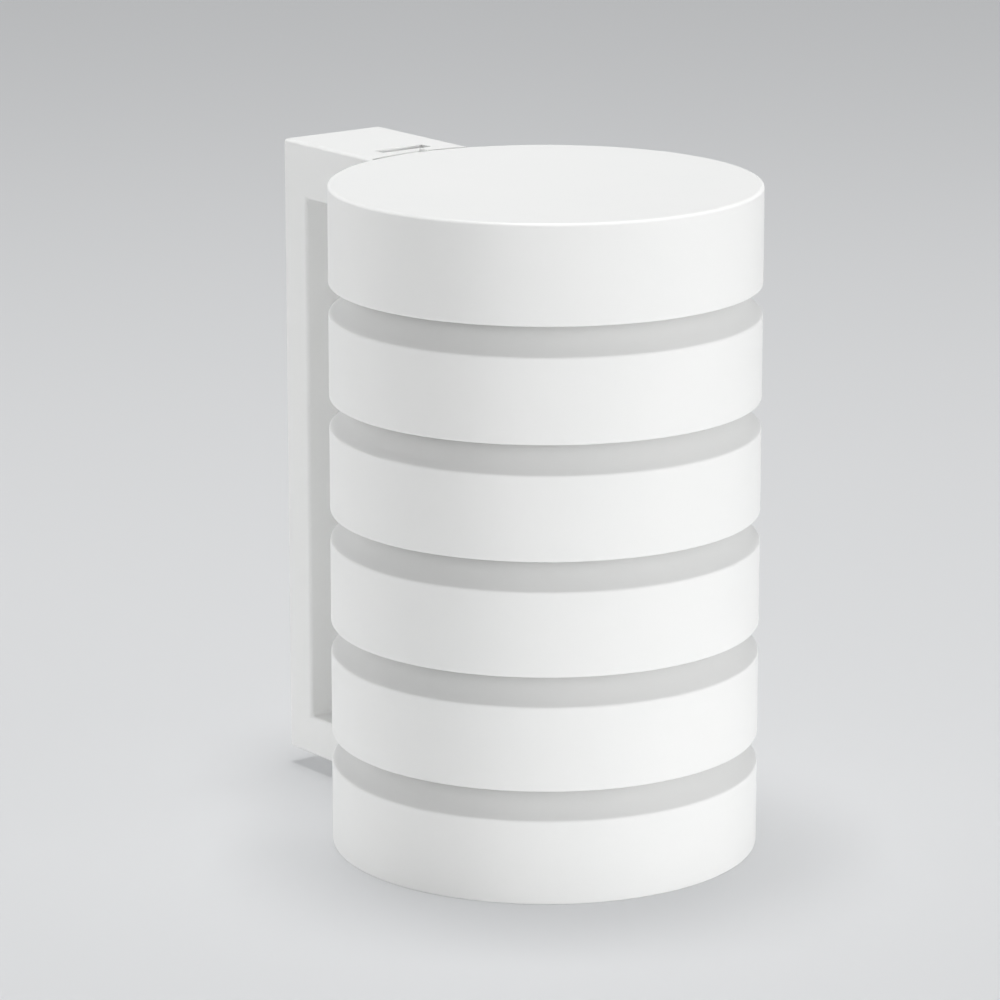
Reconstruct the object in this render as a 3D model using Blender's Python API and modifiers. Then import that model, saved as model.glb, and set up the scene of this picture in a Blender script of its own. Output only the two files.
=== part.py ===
"""Louvred weather-station shield on its wall bracket, with the sensor module inside.

Units are metres and +Z is up. The origin is the middle of the bracket's wall face: the wall is
the plane Y = 0 and the shield stands out from it along -Y. Every piece is modelled round the
shield's own axis, with Z = 0 at the foot of the base ring, and hangs under one empty that
carries the stack to its place on the wall.
"""

import math

import bmesh
import bpy
from mathutils import Matrix

# Fits between pieces
FIT_GAP = 0.0003
RUNNING_GAP = 0.0006

# Louvre stack
RING_RADIUS = 0.048
RING_WALL = 0.0022
BAND_HEIGHT = 0.0189
AIR_GAP = 0.0068
LOUVRE_COUNT = 4
SHOULDER_RUN = 0.013
SHOULDER_ANGLE = math.radians(45)
CAP_HEIGHT = 0.0222
CAP_ROOF = 0.0025
CAP_EDGE_RADIUS = 0.0008
FLOOR_THICKNESS = 0.0025

# Screw posts, tie rods and the threaded inserts in the cap
POST_COUNT = 3
POST_RADIUS = 0.0036
POST_SKIRT_GAP = 0.0052
POST_STANDOFF = 0.0007
ROD_RADIUS = 0.0015
ROD_HEAD_RADIUS = 0.0027
ROD_HEAD_HEIGHT = 0.0022
ROD_HEAD_RECESS = 0.0006
INSERT_RADIUS = 0.0023
INSERT_LENGTH = 0.008

# Wall bracket and the tongue on the cap that hooks into it
BRACKET_WIDTH = 0.0273
BRACKET_STANDOFF = 0.0331
BRACKET_FOOT = 0.004
BRACKET_WALL = 0.0024
BRACKET_EDGE = 0.0008
PLATE_THICKNESS = 0.0089
TOP_ARM_HEIGHT = 0.013
BOTTOM_ARM_HEIGHT = 0.0094
WALL_LAND_HEIGHT = 0.014
WALL_SCREW_RADIUS = 0.0023
WALL_SCREW_HEAD_RADIUS = 0.0044
WALL_SCREW_BOSS_RADIUS = 0.0065
TONGUE_NECK_WIDTH = 0.006
TONGUE_NECK_LENGTH = 0.0035
TONGUE_HEAD_WIDTH = 0.013
TONGUE_HEAD_THICKNESS = 0.003
TONGUE_HEIGHT = 0.0092
TONGUE_TOP_DROP = 0.0006

# Screw-in hatch in the base ring and its tripod insert
COLLAR_WALL = 0.0022
POST_COLLAR_STEP = 0.001
HATCH_PLATE_THICKNESS = 0.0024
HATCH_RECESS = 0.0006
HATCH_WALL = 0.0024
HUB_RADIUS = 0.008
HUB_PROUD = 0.0002
RIB_HEIGHT = 0.0012
RIB_WIDTH = 0.002
RIB_COUNT = 6
VENT_WIDTH = 0.003
VENT_MARGIN = 0.003
THREAD_STARTS = 3
THREAD_LEAD = 0.024
THREAD_REACH = 0.0034
THREAD_HEIGHT = 0.0022
THREAD_ROOT = 0.0004
LEDGE_SPAN = math.radians(70)
LUG_SPAN = math.radians(20)
LUG_INSET = math.radians(2)
TRIPOD_INSERT_RADIUS = 0.0044
TRIPOD_INSERT_BORE = 0.0027
TRIPOD_INSERT_LENGTH = 0.0105

# Cradle that carries the module on the hatch and slides on the screw posts
CRADLE_FLOOR = 0.0024
CRADLE_WALL = 0.002
CUP_DEPTH = 0.01
MODULE_FIT_GAP = 0.0004
EAR_CLEARANCE = 0.0026
EAR_HEIGHT = 0.003
EAR_TINE = 0.0022
CRADLE_VENT_RADIUS = 0.0032
CRADLE_VENT_CIRCLE = 0.014
CRADLE_VENT_COUNT = 6

# Sensor module
MODULE_RADIUS = 0.0225
MODULE_LENGTH = 0.105
SHELL_WALL = 0.0015
SLIT_WIDTH = 0.0026
SLIT_MARGIN = 0.02
END_INSET = 0.0006
TOP_PLATE_THICKNESS = 0.003
BOTTOM_CAP_THICKNESS = 0.004
SEAL_WIDTH = 0.002
SEAL_HEIGHT = 0.0018
CHASSIS_WIDTH = 0.028
CHASSIS_THICKNESS = 0.002
SHELF_THICKNESS = 0.0024
SHELF_MARGIN = 0.002
BATTERY_RADIUS = 0.00525
BATTERY_LENGTH = 0.0445
BATTERY_TIP_RADIUS = 0.0019
BATTERY_TIP_HEIGHT = 0.001
BATTERY_SPACING = 0.0112
CONTACT_THICKNESS = 0.0005
CONTACT_DEPTH = 0.007
BOARD_WIDTH = 0.026
BOARD_THICKNESS = 0.0016
BOARD_MARGIN = 0.004
SENSOR_SIZE = 0.003
SENSOR_HEIGHT = 0.0011
SENSOR_RISE = 0.006
CAN_WIDTH = 0.012
CAN_LENGTH = 0.014
CAN_HEIGHT = 0.0022
CAN_DROP = 0.008
LIGHT_GUIDE_DEPTH = 0.0024
MODULE_SCREW_RADIUS = 0.001
MODULE_SCREW_HEAD_RADIUS = 0.0019
MODULE_SCREW_HEAD_HEIGHT = 0.0014
MODULE_SCREW_OFFSET = 0.0117

# Facets round each kind of turned piece
RING_FACETS = 48
HATCH_FACETS = 48
MODULE_FACETS = 40
POST_FACETS = 16
SCREW_FACETS = 12
HELIX_STEPS_PER_TURN = 48
EDGE_STEPS = 3

# Heights in the stack, from the base ring's foot
PITCH = BAND_HEIGHT + AIR_GAP
CAP_Z = (LOUVRE_COUNT + 1) * PITCH
STACK_HEIGHT = CAP_Z + CAP_HEIGHT
SHOULDER_TOP = BAND_HEIGHT + SHOULDER_RUN * math.tan(SHOULDER_ANGLE)
POST_FOOT = SHOULDER_TOP - PITCH + POST_STANDOFF
POST_TOP = POST_FOOT + PITCH - FIT_GAP
POST_CIRCLE = RING_RADIUS - RING_WALL - POST_SKIRT_GAP - POST_RADIUS
POST_ANGLES = [math.radians(-90) + math.tau * i / POST_COUNT for i in range(POST_COUNT)]
ROD_BORE = ROD_RADIUS + FIT_GAP
ROD_TIP = CAP_Z + POST_FOOT + INSERT_LENGTH

# Hatch, thread and cradle, from the base ring's foot
COLLAR_BORE = POST_CIRCLE - POST_RADIUS - POST_COLLAR_STEP
HATCH_RADIUS = COLLAR_BORE - RUNNING_GAP
HATCH_TUBE_RADIUS = COLLAR_BORE - THREAD_REACH - RUNNING_GAP
PLATE_FOOT = HATCH_RECESS + RIB_HEIGHT
PLATE_TOP = PLATE_FOOT + HATCH_PLATE_THICKNESS
LEDGE_FOOT = PLATE_TOP + RUNNING_GAP
THREAD_RISE = THREAD_LEAD * LEDGE_SPAN / math.tau
LUG_START = LEDGE_SPAN - LUG_INSET - LUG_SPAN
LUG_FOOT = LEDGE_FOOT + THREAD_HEIGHT + FIT_GAP + THREAD_LEAD * LUG_START / math.tau
LUG_TOP = LUG_FOOT + THREAD_HEIGHT + THREAD_LEAD * LUG_SPAN / math.tau
HATCH_TOP = LUG_TOP + THREAD_ROOT
COLLAR_TOP = LEDGE_FOOT + THREAD_HEIGHT + THREAD_RISE + THREAD_ROOT
CRADLE_Z = HATCH_TOP + FIT_GAP
EAR_FOOT = COLLAR_TOP + THREAD_RISE + EAR_CLEARANCE
CUP_BORE = MODULE_RADIUS + MODULE_FIT_GAP
CUP_RADIUS = CUP_BORE + CRADLE_WALL
MODULE_Z = CRADLE_Z + CRADLE_FLOOR + FIT_GAP

# Bracket, from the shield's axis
AXIS_TO_WALL = RING_RADIUS + BRACKET_STANDOFF
PLATE_FRONT = AXIS_TO_WALL - PLATE_THICKNESS
PLATE_MIDDLE = (BRACKET_FOOT + STACK_HEIGHT) / 2
TONGUE_TOP = STACK_HEIGHT - TONGUE_TOP_DROP
TONGUE_FOOT = TONGUE_TOP - TONGUE_HEIGHT
TONGUE_END = RING_RADIUS + TONGUE_NECK_LENGTH + TONGUE_HEAD_THICKNESS


def clear_scene():
    """Remove every object, so that only this model is left."""
    for old in list(bpy.data.objects):
        bpy.data.objects.remove(old)


def new_collection(name):
    """Return a fresh collection in the scene."""
    collection = bpy.data.collections.new(name)
    bpy.context.scene.collection.children.link(collection)
    return collection


clear_scene()
PARTS = new_collection("louvred_weather_shield")
WORK = new_collection("working_shapes")
STACK = bpy.data.objects.new("stack_axis", None)
STACK.location = (0, -AXIS_TO_WALL, -PLATE_MIDDLE)
PARTS.objects.link(STACK)


def finish(name, colour, roughness, metallic=0.0):
    """Return a material with one Principled surface."""
    made = bpy.data.materials.new(name)
    made.use_nodes = True
    surface = made.node_tree.nodes["Principled BSDF"]
    surface.inputs["Base Color"].default_value = (*colour, 1)
    surface.inputs["Roughness"].default_value = roughness
    surface.inputs["Metallic"].default_value = metallic
    made.diffuse_color = (*colour, 1)
    return made


SHIELD_WHITE = finish("white_moulded_asa", (0.80, 0.80, 0.79), 0.38)
BRASS = finish("turned_brass", (0.70, 0.47, 0.20), 0.32, 1.0)
STEEL = finish("stainless_steel", (0.56, 0.56, 0.57), 0.30, 1.0)
ALUMINIUM = finish("anodised_aluminium", (0.62, 0.62, 0.63), 0.35, 1.0)
GREY_PLASTIC = finish("grey_moulded_abs", (0.42, 0.42, 0.43), 0.50)
BLACK_PLASTIC = finish("black_moulded_epoxy", (0.03, 0.03, 0.03), 0.45)
BOARD_GREEN = finish("green_solder_mask", (0.03, 0.16, 0.07), 0.40)
CELL_WRAP = finish("battery_wrap", (0.10, 0.11, 0.13), 0.35)
RUBBER = finish("black_silicone_rubber", (0.04, 0.04, 0.04), 0.75)
CLEAR_PLASTIC = finish("frosted_acrylic", (0.85, 0.87, 0.88), 0.30)


def shape(bm):
    """Turn a bmesh into a working object."""
    mesh = bpy.data.meshes.new("shape")
    bm.to_mesh(mesh)
    bm.free()
    made = bpy.data.objects.new("shape", mesh)
    made.hide_render = True
    made.display_type = "WIRE"
    WORK.objects.link(made)
    return made


def box(low, high):
    """Return a box between two corners."""
    size = [b - a for a, b in zip(low, high)]
    middle = [(a + b) / 2 for a, b in zip(low, high)]
    bm = bmesh.new()
    bmesh.ops.create_cube(bm, size=1, matrix=Matrix.Translation(middle) @ Matrix.Diagonal((*size, 1)))
    return shape(bm)


def cone(low_radius, high_radius, low, high, centre=(0, 0), facets=POST_FACETS, lying=False):
    """Return a cone or cylinder that runs up Z, or along +Y when it is lying."""
    if lying:
        middle = Matrix.Translation((centre[0], (low + high) / 2, centre[1]))
        middle = middle @ Matrix.Rotation(math.radians(-90), 4, "X")
    else:
        middle = Matrix.Translation((*centre, (low + high) / 2))
    bm = bmesh.new()
    bmesh.ops.create_cone(bm, cap_ends=True, segments=facets, radius1=low_radius,
                          radius2=high_radius, depth=high - low, matrix=middle)
    return shape(bm)


def cylinder(radius, low, high, centre=(0, 0), facets=POST_FACETS, lying=False):
    """Return an upright or lying cylinder."""
    return cone(radius, radius, low, high, centre, facets, lying)


def turned(profile, facets, closed=True):
    """Return a profile of (radius, height) points turned round the Z axis."""
    bm = bmesh.new()
    points = [bm.verts.new((radius, 0, height)) for radius, height in profile]
    for start, end in zip(points, points[1:]):
        bm.edges.new((start, end))
    if closed:
        bm.edges.new((points[-1], points[0]))
    made = shape(bm)
    screw = made.modifiers.new("turn", "SCREW")
    screw.steps = facets
    screw.render_steps = facets
    screw.use_merge_vertices = True
    screw.merge_threshold = 0.000001
    return made


def stepped_bore(head_radius, radius, low, step, high, centre):
    """Return the cutter for a screw that comes up from below: a head recess and then a bore."""
    made = turned([(0, high), (radius, high), (radius, step), (head_radius, step),
                   (head_radius, low), (0, low)], SCREW_FACETS, closed=False)
    made.location = (*centre, 0)
    return made


def helix_block(inner, outer, foot, start, span):
    """Return a block of the thread's height that climbs round the axis at the thread's lead."""
    steps = max(3, round(HELIX_STEPS_PER_TURN * span / math.tau))
    bm = bmesh.new()
    corners = [(inner, foot), (outer, foot), (outer, foot + THREAD_HEIGHT), (inner, foot + THREAD_HEIGHT)]
    face = bm.faces.new([bm.verts.new((radius, 0, height)) for radius, height in corners])
    bmesh.ops.rotate(bm, verts=bm.verts, cent=(0, 0, 0), matrix=Matrix.Rotation(start, 3, "Z"))
    bmesh.ops.spin(bm, geom=[face, *face.edges, *face.verts], cent=(0, 0, 0), axis=(0, 0, 1),
                   dvec=(0, 0, THREAD_LEAD * span / math.tau / steps), angle=span, steps=steps)
    bmesh.ops.recalc_face_normals(bm, faces=bm.faces)
    return shape(bm)


def turn_about_axis(made, angle):
    """Turn a working shape about the stack's axis."""
    made.data.transform(Matrix.Rotation(angle, 4, "Z"))
    return made


def on_circle(radius, angle):
    """Return the (x, y) point at an angle on a circle about the axis."""
    return radius * math.cos(angle), radius * math.sin(angle)


def combine(base, joined=(), cut=()):
    """Return the mesh of a shape with others joined to it and then cut from it."""
    for operation, tools in (("UNION", joined), ("DIFFERENCE", cut)):
        for tool in tools:
            step = base.modifiers.new(operation.lower(), "BOOLEAN")
            step.operation = operation
            step.object = tool
            step.solver = "EXACT"
    bpy.context.view_layer.update()
    graph = bpy.context.evaluated_depsgraph_get()
    mesh = bpy.data.meshes.new_from_object(base.evaluated_get(graph))
    for used in (base, *joined, *cut):
        bpy.data.objects.remove(used)
    return mesh


def place(name, mesh, surface, height=0.0):
    """Add one piece to the model at a height in the stack."""
    mesh.name = name
    mesh.materials.clear()
    mesh.materials.append(surface)
    mesh.shade_smooth()
    mesh.set_sharp_from_angle(angle=math.radians(30))
    piece = bpy.data.objects.new(name, mesh)
    piece.parent = STACK
    piece.location.z = height
    PARTS.objects.link(piece)
    return piece


def band_outline():
    """Return a ring's outer outline, from the throat's top edge down to the band's foot."""
    throat = RING_RADIUS - SHOULDER_RUN
    return [(throat, SHOULDER_TOP), (RING_RADIUS, BAND_HEIGHT), (RING_RADIUS, 0)]


def band_lining():
    """Return a ring's inner outline, from inside the band up to the throat's lower edge."""
    slant = RING_WALL / math.cos(SHOULDER_ANGLE)
    rise = math.tan(SHOULDER_ANGLE)
    inside = RING_RADIUS - RING_WALL
    throat = RING_RADIUS - SHOULDER_RUN
    return [(inside, BAND_HEIGHT + RING_WALL * rise - slant), (throat, SHOULDER_TOP - slant)]


def posts(foot, top):
    """Return the screw posts between two heights."""
    return [cylinder(POST_RADIUS, foot, top, on_circle(POST_CIRCLE, a)) for a in POST_ANGLES]


def post_bores(radius, foot, top):
    """Return the cutters for a bore down every screw post."""
    return [cylinder(radius, foot, top, on_circle(POST_CIRCLE, a), SCREW_FACETS) for a in POST_ANGLES]


def build_louvres():
    """Build the louvre rings, which share one mesh."""
    outline = [*band_outline(), (RING_RADIUS - RING_WALL, 0), *band_lining()]
    past = POST_TOP + RING_WALL
    mesh = combine(turned(outline, RING_FACETS),
                   joined=posts(POST_FOOT, POST_TOP),
                   cut=post_bores(ROD_BORE, 0, past))
    for number in range(1, LOUVRE_COUNT + 1):
        place(f"louvre_{number}", mesh, SHIELD_WHITE, CAP_Z - number * PITCH)


def build_cap():
    """Build the top cap with its screw posts and the tongue that hooks into the bracket."""
    roof = CAP_HEIGHT - CAP_ROOF
    inside = RING_RADIUS - RING_WALL
    edge = [(RING_RADIUS - CAP_EDGE_RADIUS * (1 - math.sin(a)),
             CAP_HEIGHT - CAP_EDGE_RADIUS * (1 - math.cos(a)))
            for a in (math.radians(90) * i / EDGE_STEPS for i in range(EDGE_STEPS + 1))]
    outline = [(0, CAP_HEIGHT), *edge, (RING_RADIUS, 0), (inside, 0), (inside, roof), (0, roof)]
    tongue_foot = TONGUE_FOOT - CAP_Z
    tongue_top = TONGUE_TOP - CAP_Z
    neck_end = RING_RADIUS + TONGUE_NECK_LENGTH
    neck = box((-TONGUE_NECK_WIDTH / 2, inside + RING_WALL / 3, tongue_foot),
               (TONGUE_NECK_WIDTH / 2, TONGUE_END - TONGUE_HEAD_THICKNESS / 2, tongue_top))
    head = box((-TONGUE_HEAD_WIDTH / 2, neck_end, tongue_foot),
               (TONGUE_HEAD_WIDTH / 2, TONGUE_END, tongue_top))
    tongue = shape_of(combine(head, joined=[neck]))
    insert_top = POST_FOOT + INSERT_LENGTH + FIT_GAP
    mesh = combine(turned(outline, RING_FACETS, closed=False),
                   joined=[*posts(POST_FOOT, roof + CAP_ROOF / 2), tongue],
                   cut=post_bores(INSERT_RADIUS + FIT_GAP, 0, insert_top))
    place("top_cap", mesh, SHIELD_WHITE, CAP_Z)


def shape_of(mesh):
    """Return a working object that holds a finished mesh."""
    bm = bmesh.new()
    bm.from_mesh(mesh)
    bpy.data.meshes.remove(mesh)
    return shape(bm)


def build_base_ring():
    """Build the base ring: a band with a floor, and a collar with the thread's ledges."""
    inside = RING_RADIUS - RING_WALL
    collar = COLLAR_BORE + COLLAR_WALL
    outline = [*band_outline(), (COLLAR_BORE, 0), (COLLAR_BORE, COLLAR_TOP), (collar, COLLAR_TOP),
               (collar, FLOOR_THICKNESS), (inside, FLOOR_THICKNESS), *band_lining()]
    ledges = [helix_block(COLLAR_BORE - THREAD_REACH, COLLAR_BORE + COLLAR_WALL / 2, LEDGE_FOOT,
                          math.tau * i / THREAD_STARTS, LEDGE_SPAN)
              for i in range(THREAD_STARTS)]
    recess = ROD_HEAD_RECESS + ROD_HEAD_HEIGHT + FIT_GAP
    wells = [stepped_bore(ROD_HEAD_RADIUS + FIT_GAP, ROD_BORE, -FLOOR_THICKNESS, recess,
                          POST_TOP + RING_WALL, on_circle(POST_CIRCLE, a)) for a in POST_ANGLES]
    mesh = combine(turned(outline, RING_FACETS),
                   joined=[*posts(FLOOR_THICKNESS / 2, POST_TOP), *ledges],
                   cut=wells)
    place("base_ring", mesh, SHIELD_WHITE)


def build_tie_rods():
    """Build the long screws that clamp the stack and the inserts that they screw into."""
    head_top = ROD_HEAD_RECESS + ROD_HEAD_HEIGHT
    rod = combine(turned([(0, ROD_TIP), (ROD_RADIUS, ROD_TIP), (ROD_RADIUS, head_top),
                          (ROD_HEAD_RADIUS, head_top), (ROD_HEAD_RADIUS, ROD_HEAD_RECESS),
                          (0, ROD_HEAD_RECESS)], SCREW_FACETS, closed=False))
    insert = combine(turned([(ROD_BORE, INSERT_LENGTH), (INSERT_RADIUS, INSERT_LENGTH),
                             (INSERT_RADIUS, 0), (ROD_BORE, 0)], SCREW_FACETS))
    for number, angle in enumerate(POST_ANGLES, start=1):
        x, y = on_circle(POST_CIRCLE, angle)
        screw = place(f"tie_rod_{number}", rod, STEEL)
        screw.location.x, screw.location.y = x, y
        sleeve = place(f"cap_insert_{number}", insert, BRASS, CAP_Z + POST_FOOT)
        sleeve.location.x, sleeve.location.y = x, y


def build_bracket():
    """Build the C-shaped wall bracket with the slot that the cap's tongue hangs in."""
    half = BRACKET_WIDTH / 2
    lining = half - BRACKET_WALL
    past_wall = AXIS_TO_WALL + PLATE_THICKNESS
    bottom_arm_top = BRACKET_FOOT + BOTTOM_ARM_HEIGHT
    top_arm_foot = STACK_HEIGHT - TOP_ARM_HEIGHT
    bar = box((-half, 0, BRACKET_FOOT), (half, AXIS_TO_WALL, STACK_HEIGHT))
    bevel = bar.modifiers.new("edges", "BEVEL")
    bevel.width = BRACKET_EDGE
    bevel.segments = 2
    window = box((-BRACKET_WIDTH, -RING_RADIUS, bottom_arm_top), (BRACKET_WIDTH, PLATE_FRONT, top_arm_foot))
    hollow = cylinder(RING_RADIUS + FIT_GAP, -CAP_HEIGHT, STACK_HEIGHT + CAP_HEIGHT, facets=2 * RING_FACETS)
    neck_end = RING_RADIUS + TONGUE_NECK_LENGTH
    neck_half = TONGUE_NECK_WIDTH / 2 + FIT_GAP
    head_half = TONGUE_HEAD_WIDTH / 2 + FIT_GAP
    slot_foot = TONGUE_FOOT - FIT_GAP
    slot_top = STACK_HEIGHT + TONGUE_HEIGHT
    slot_end = TONGUE_END + FIT_GAP
    neck_slot = box((-neck_half, 0, slot_foot), (neck_half, neck_end, slot_top))
    head_slot = box((-head_half, neck_end - FIT_GAP, slot_foot), (head_half, slot_end, slot_top))
    slot = shape_of(combine(head_slot, joined=[neck_slot]))
    web_back = PLATE_FRONT + BRACKET_WALL
    land_foot = PLATE_MIDDLE - WALL_LAND_HEIGHT / 2
    land_top = PLATE_MIDDLE + WALL_LAND_HEIGHT / 2
    inner_foot = BRACKET_FOOT + BRACKET_WALL
    inner_top = STACK_HEIGHT - BRACKET_WALL
    pockets = [box((-lining, web_back, inner_foot), (lining, past_wall, land_foot)),
               box((-lining, web_back, land_top), (lining, past_wall, inner_top)),
               box((-lining, RING_RADIUS + 2 * BRACKET_WALL, inner_foot),
                   (lining, web_back + BRACKET_WALL, bottom_arm_top - BRACKET_WALL)),
               box((-lining, slot_end + BRACKET_WALL, top_arm_foot + BRACKET_WALL),
                   (lining, web_back + BRACKET_WALL, inner_top))]
    screw_heights = [(inner_foot + land_foot) / 2, (inner_top + land_top) / 2]
    web_middle = PLATE_FRONT + BRACKET_WALL / 2
    carved = shape_of(combine(bar, cut=[window, hollow, slot, *pockets]))
    bosses = [cylinder(WALL_SCREW_BOSS_RADIUS, web_middle, AXIS_TO_WALL, (0, z), lying=True)
              for z in screw_heights]
    holes = [cylinder(WALL_SCREW_RADIUS, 0, past_wall, (0, z), lying=True) for z in screw_heights]
    countersinks = [cone(2 * WALL_SCREW_HEAD_RADIUS - WALL_SCREW_RADIUS, WALL_SCREW_RADIUS,
                         PLATE_FRONT - (WALL_SCREW_HEAD_RADIUS - WALL_SCREW_RADIUS),
                         PLATE_FRONT + (WALL_SCREW_HEAD_RADIUS - WALL_SCREW_RADIUS), (0, z), lying=True)
                    for z in screw_heights]
    place("wall_bracket", combine(carved, joined=bosses, cut=[*holes, *countersinks]), SHIELD_WHITE)


def build_hatch():
    """Build the screw-in hatch: ribbed and vented plate, tube with lugs, hub with its insert."""
    bore = HATCH_TUBE_RADIUS - HATCH_WALL
    outline = [(0, HATCH_TOP), (HUB_RADIUS, HATCH_TOP), (HUB_RADIUS, PLATE_TOP), (bore, PLATE_TOP),
               (bore, HATCH_TOP), (HATCH_TUBE_RADIUS, HATCH_TOP), (HATCH_TUBE_RADIUS, PLATE_TOP),
               (HATCH_RADIUS, PLATE_TOP), (HATCH_RADIUS, PLATE_FOOT), (HUB_RADIUS, PLATE_FOOT),
               (HUB_RADIUS, HATCH_RECESS), (0, HATCH_RECESS)]
    lugs = [helix_block(HATCH_TUBE_RADIUS - HATCH_WALL / 4, COLLAR_BORE - RUNNING_GAP, LUG_FOOT,
                        math.tau * i / THREAD_STARTS + LUG_START, LUG_SPAN)
            for i in range(THREAD_STARTS)]
    rib_angles = [math.tau * i / RIB_COUNT for i in range(RIB_COUNT)]
    rib_foot = HATCH_RECESS + HUB_PROUD
    rib_top = PLATE_FOOT + RIB_HEIGHT / 4
    ribs = [turn_about_axis(box((HUB_RADIUS - RIB_WIDTH / 2, -RIB_WIDTH / 2, rib_foot),
                                (HATCH_RADIUS - RIB_WIDTH / 2, RIB_WIDTH / 2, rib_top)), a)
            for a in rib_angles]
    vents = [turn_about_axis(box((HUB_RADIUS + VENT_MARGIN, -VENT_WIDTH / 2, -HATCH_TOP),
                                 (bore - VENT_MARGIN, VENT_WIDTH / 2, HATCH_TOP)), a + math.pi / RIB_COUNT)
             for a in rib_angles]
    socket = cylinder(TRIPOD_INSERT_RADIUS + FIT_GAP, -HATCH_TOP,
                      HATCH_RECESS + TRIPOD_INSERT_LENGTH + FIT_GAP, facets=POST_FACETS)
    mesh = combine(turned(outline, HATCH_FACETS, closed=False), joined=[*lugs, *ribs], cut=[*vents, socket])
    place("hatch", mesh, SHIELD_WHITE)
    insert_top = HATCH_RECESS + TRIPOD_INSERT_LENGTH
    insert = turned([(TRIPOD_INSERT_BORE, insert_top), (TRIPOD_INSERT_RADIUS, insert_top),
                     (TRIPOD_INSERT_RADIUS, HATCH_RECESS), (TRIPOD_INSERT_BORE, HATCH_RECESS)], POST_FACETS)
    place("tripod_insert", combine(insert), BRASS)


def build_cradle():
    """Build the cup that carries the module and runs on the screw posts with forked ears."""
    cup_top = CRADLE_Z + CRADLE_FLOOR + CUP_DEPTH
    floor_top = CRADLE_Z + CRADLE_FLOOR
    outline = [(0, floor_top), (CUP_BORE, floor_top), (CUP_BORE, cup_top), (CUP_RADIUS, cup_top),
               (CUP_RADIUS, CRADLE_Z), (0, CRADLE_Z)]
    ear_half = POST_RADIUS + FIT_GAP + EAR_TINE
    ears = [turn_about_axis(box((CUP_RADIUS - CRADLE_WALL / 2, -ear_half, EAR_FOOT),
                                (POST_CIRCLE, ear_half, EAR_FOOT + EAR_HEIGHT)), a)
            for a in POST_ANGLES]
    forks = [cylinder(POST_RADIUS + FIT_GAP, 0, cup_top, on_circle(POST_CIRCLE, a)) for a in POST_ANGLES]
    vents = [cylinder(CRADLE_VENT_RADIUS, 0, floor_top + CUP_DEPTH / 2,
                      on_circle(CRADLE_VENT_CIRCLE, math.tau * i / CRADLE_VENT_COUNT), SCREW_FACETS)
             for i in range(CRADLE_VENT_COUNT)]
    mesh = combine(turned(outline, MODULE_FACETS, closed=False), joined=ears, cut=[*forks, *vents])
    place("module_cradle", mesh, GREY_PLASTIC)


def disc(radius, low, high):
    """Return a plain disc on the module's axis."""
    return cylinder(radius, low, high, facets=MODULE_FACETS)


def build_module_case():
    """Build the module's shell, its two ends, the seal, the light guide and the end screws."""
    bore = MODULE_RADIUS - SHELL_WALL
    seat = bore - FIT_GAP
    slit_low = SLIT_MARGIN
    slit_high = MODULE_LENGTH - SLIT_MARGIN
    slit = box((-SLIT_WIDTH / 2, -2 * MODULE_RADIUS, slit_low), (SLIT_WIDTH / 2, 0, slit_high))
    tube = turned([(bore, MODULE_LENGTH), (MODULE_RADIUS, MODULE_LENGTH), (MODULE_RADIUS, 0), (bore, 0)],
                  MODULE_FACETS)
    place("module_shell", combine(tube, cut=[slit]), ALUMINIUM, MODULE_Z)
    guide_half = SLIT_WIDTH / 2 - FIT_GAP
    guide = box((-guide_half, -MODULE_RADIUS + END_INSET, slit_low + FIT_GAP),
                (guide_half, -MODULE_RADIUS + END_INSET + LIGHT_GUIDE_DEPTH, slit_high - FIT_GAP))
    place("light_guide", combine(guide), CLEAR_PLASTIC, MODULE_Z)
    plate_top = MODULE_LENGTH - END_INSET
    place("module_top_plate", combine(disc(seat, plate_top - TOP_PLATE_THICKNESS, plate_top)),
          GREY_PLASTIC, MODULE_Z)
    cap_top = END_INSET + BOTTOM_CAP_THICKNESS
    head_top = END_INSET + MODULE_SCREW_HEAD_HEIGHT
    centres = [(side * MODULE_SCREW_OFFSET, CHASSIS_THICKNESS / 2 + BATTERY_RADIUS) for side in (-1, 1)]
    wells = [stepped_bore(MODULE_SCREW_HEAD_RADIUS + FIT_GAP, MODULE_SCREW_RADIUS + FIT_GAP, -cap_top,
                          head_top + FIT_GAP, 2 * cap_top, c) for c in centres]
    place("module_bottom_cap", combine(disc(seat, END_INSET, cap_top), cut=wells),
          GREY_PLASTIC, MODULE_Z)
    seal_foot = cap_top + FIT_GAP
    seal = turned([(seat - SEAL_WIDTH, seal_foot + SEAL_HEIGHT), (seat, seal_foot + SEAL_HEIGHT),
                   (seat, seal_foot), (seat - SEAL_WIDTH, seal_foot)], MODULE_FACETS)
    place("module_seal", combine(seal), RUBBER, MODULE_Z)
    tip = seal_foot + SEAL_HEIGHT + SHELF_THICKNESS
    screw = combine(turned([(0, tip), (MODULE_SCREW_RADIUS, tip), (MODULE_SCREW_RADIUS, head_top),
                            (MODULE_SCREW_HEAD_RADIUS, head_top), (MODULE_SCREW_HEAD_RADIUS, END_INSET),
                            (0, END_INSET)], SCREW_FACETS, closed=False))
    for number, (x, y) in enumerate(centres, start=1):
        piece = place(f"module_screw_{number}", screw, STEEL, MODULE_Z)
        piece.location.x, piece.location.y = x, y


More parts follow.
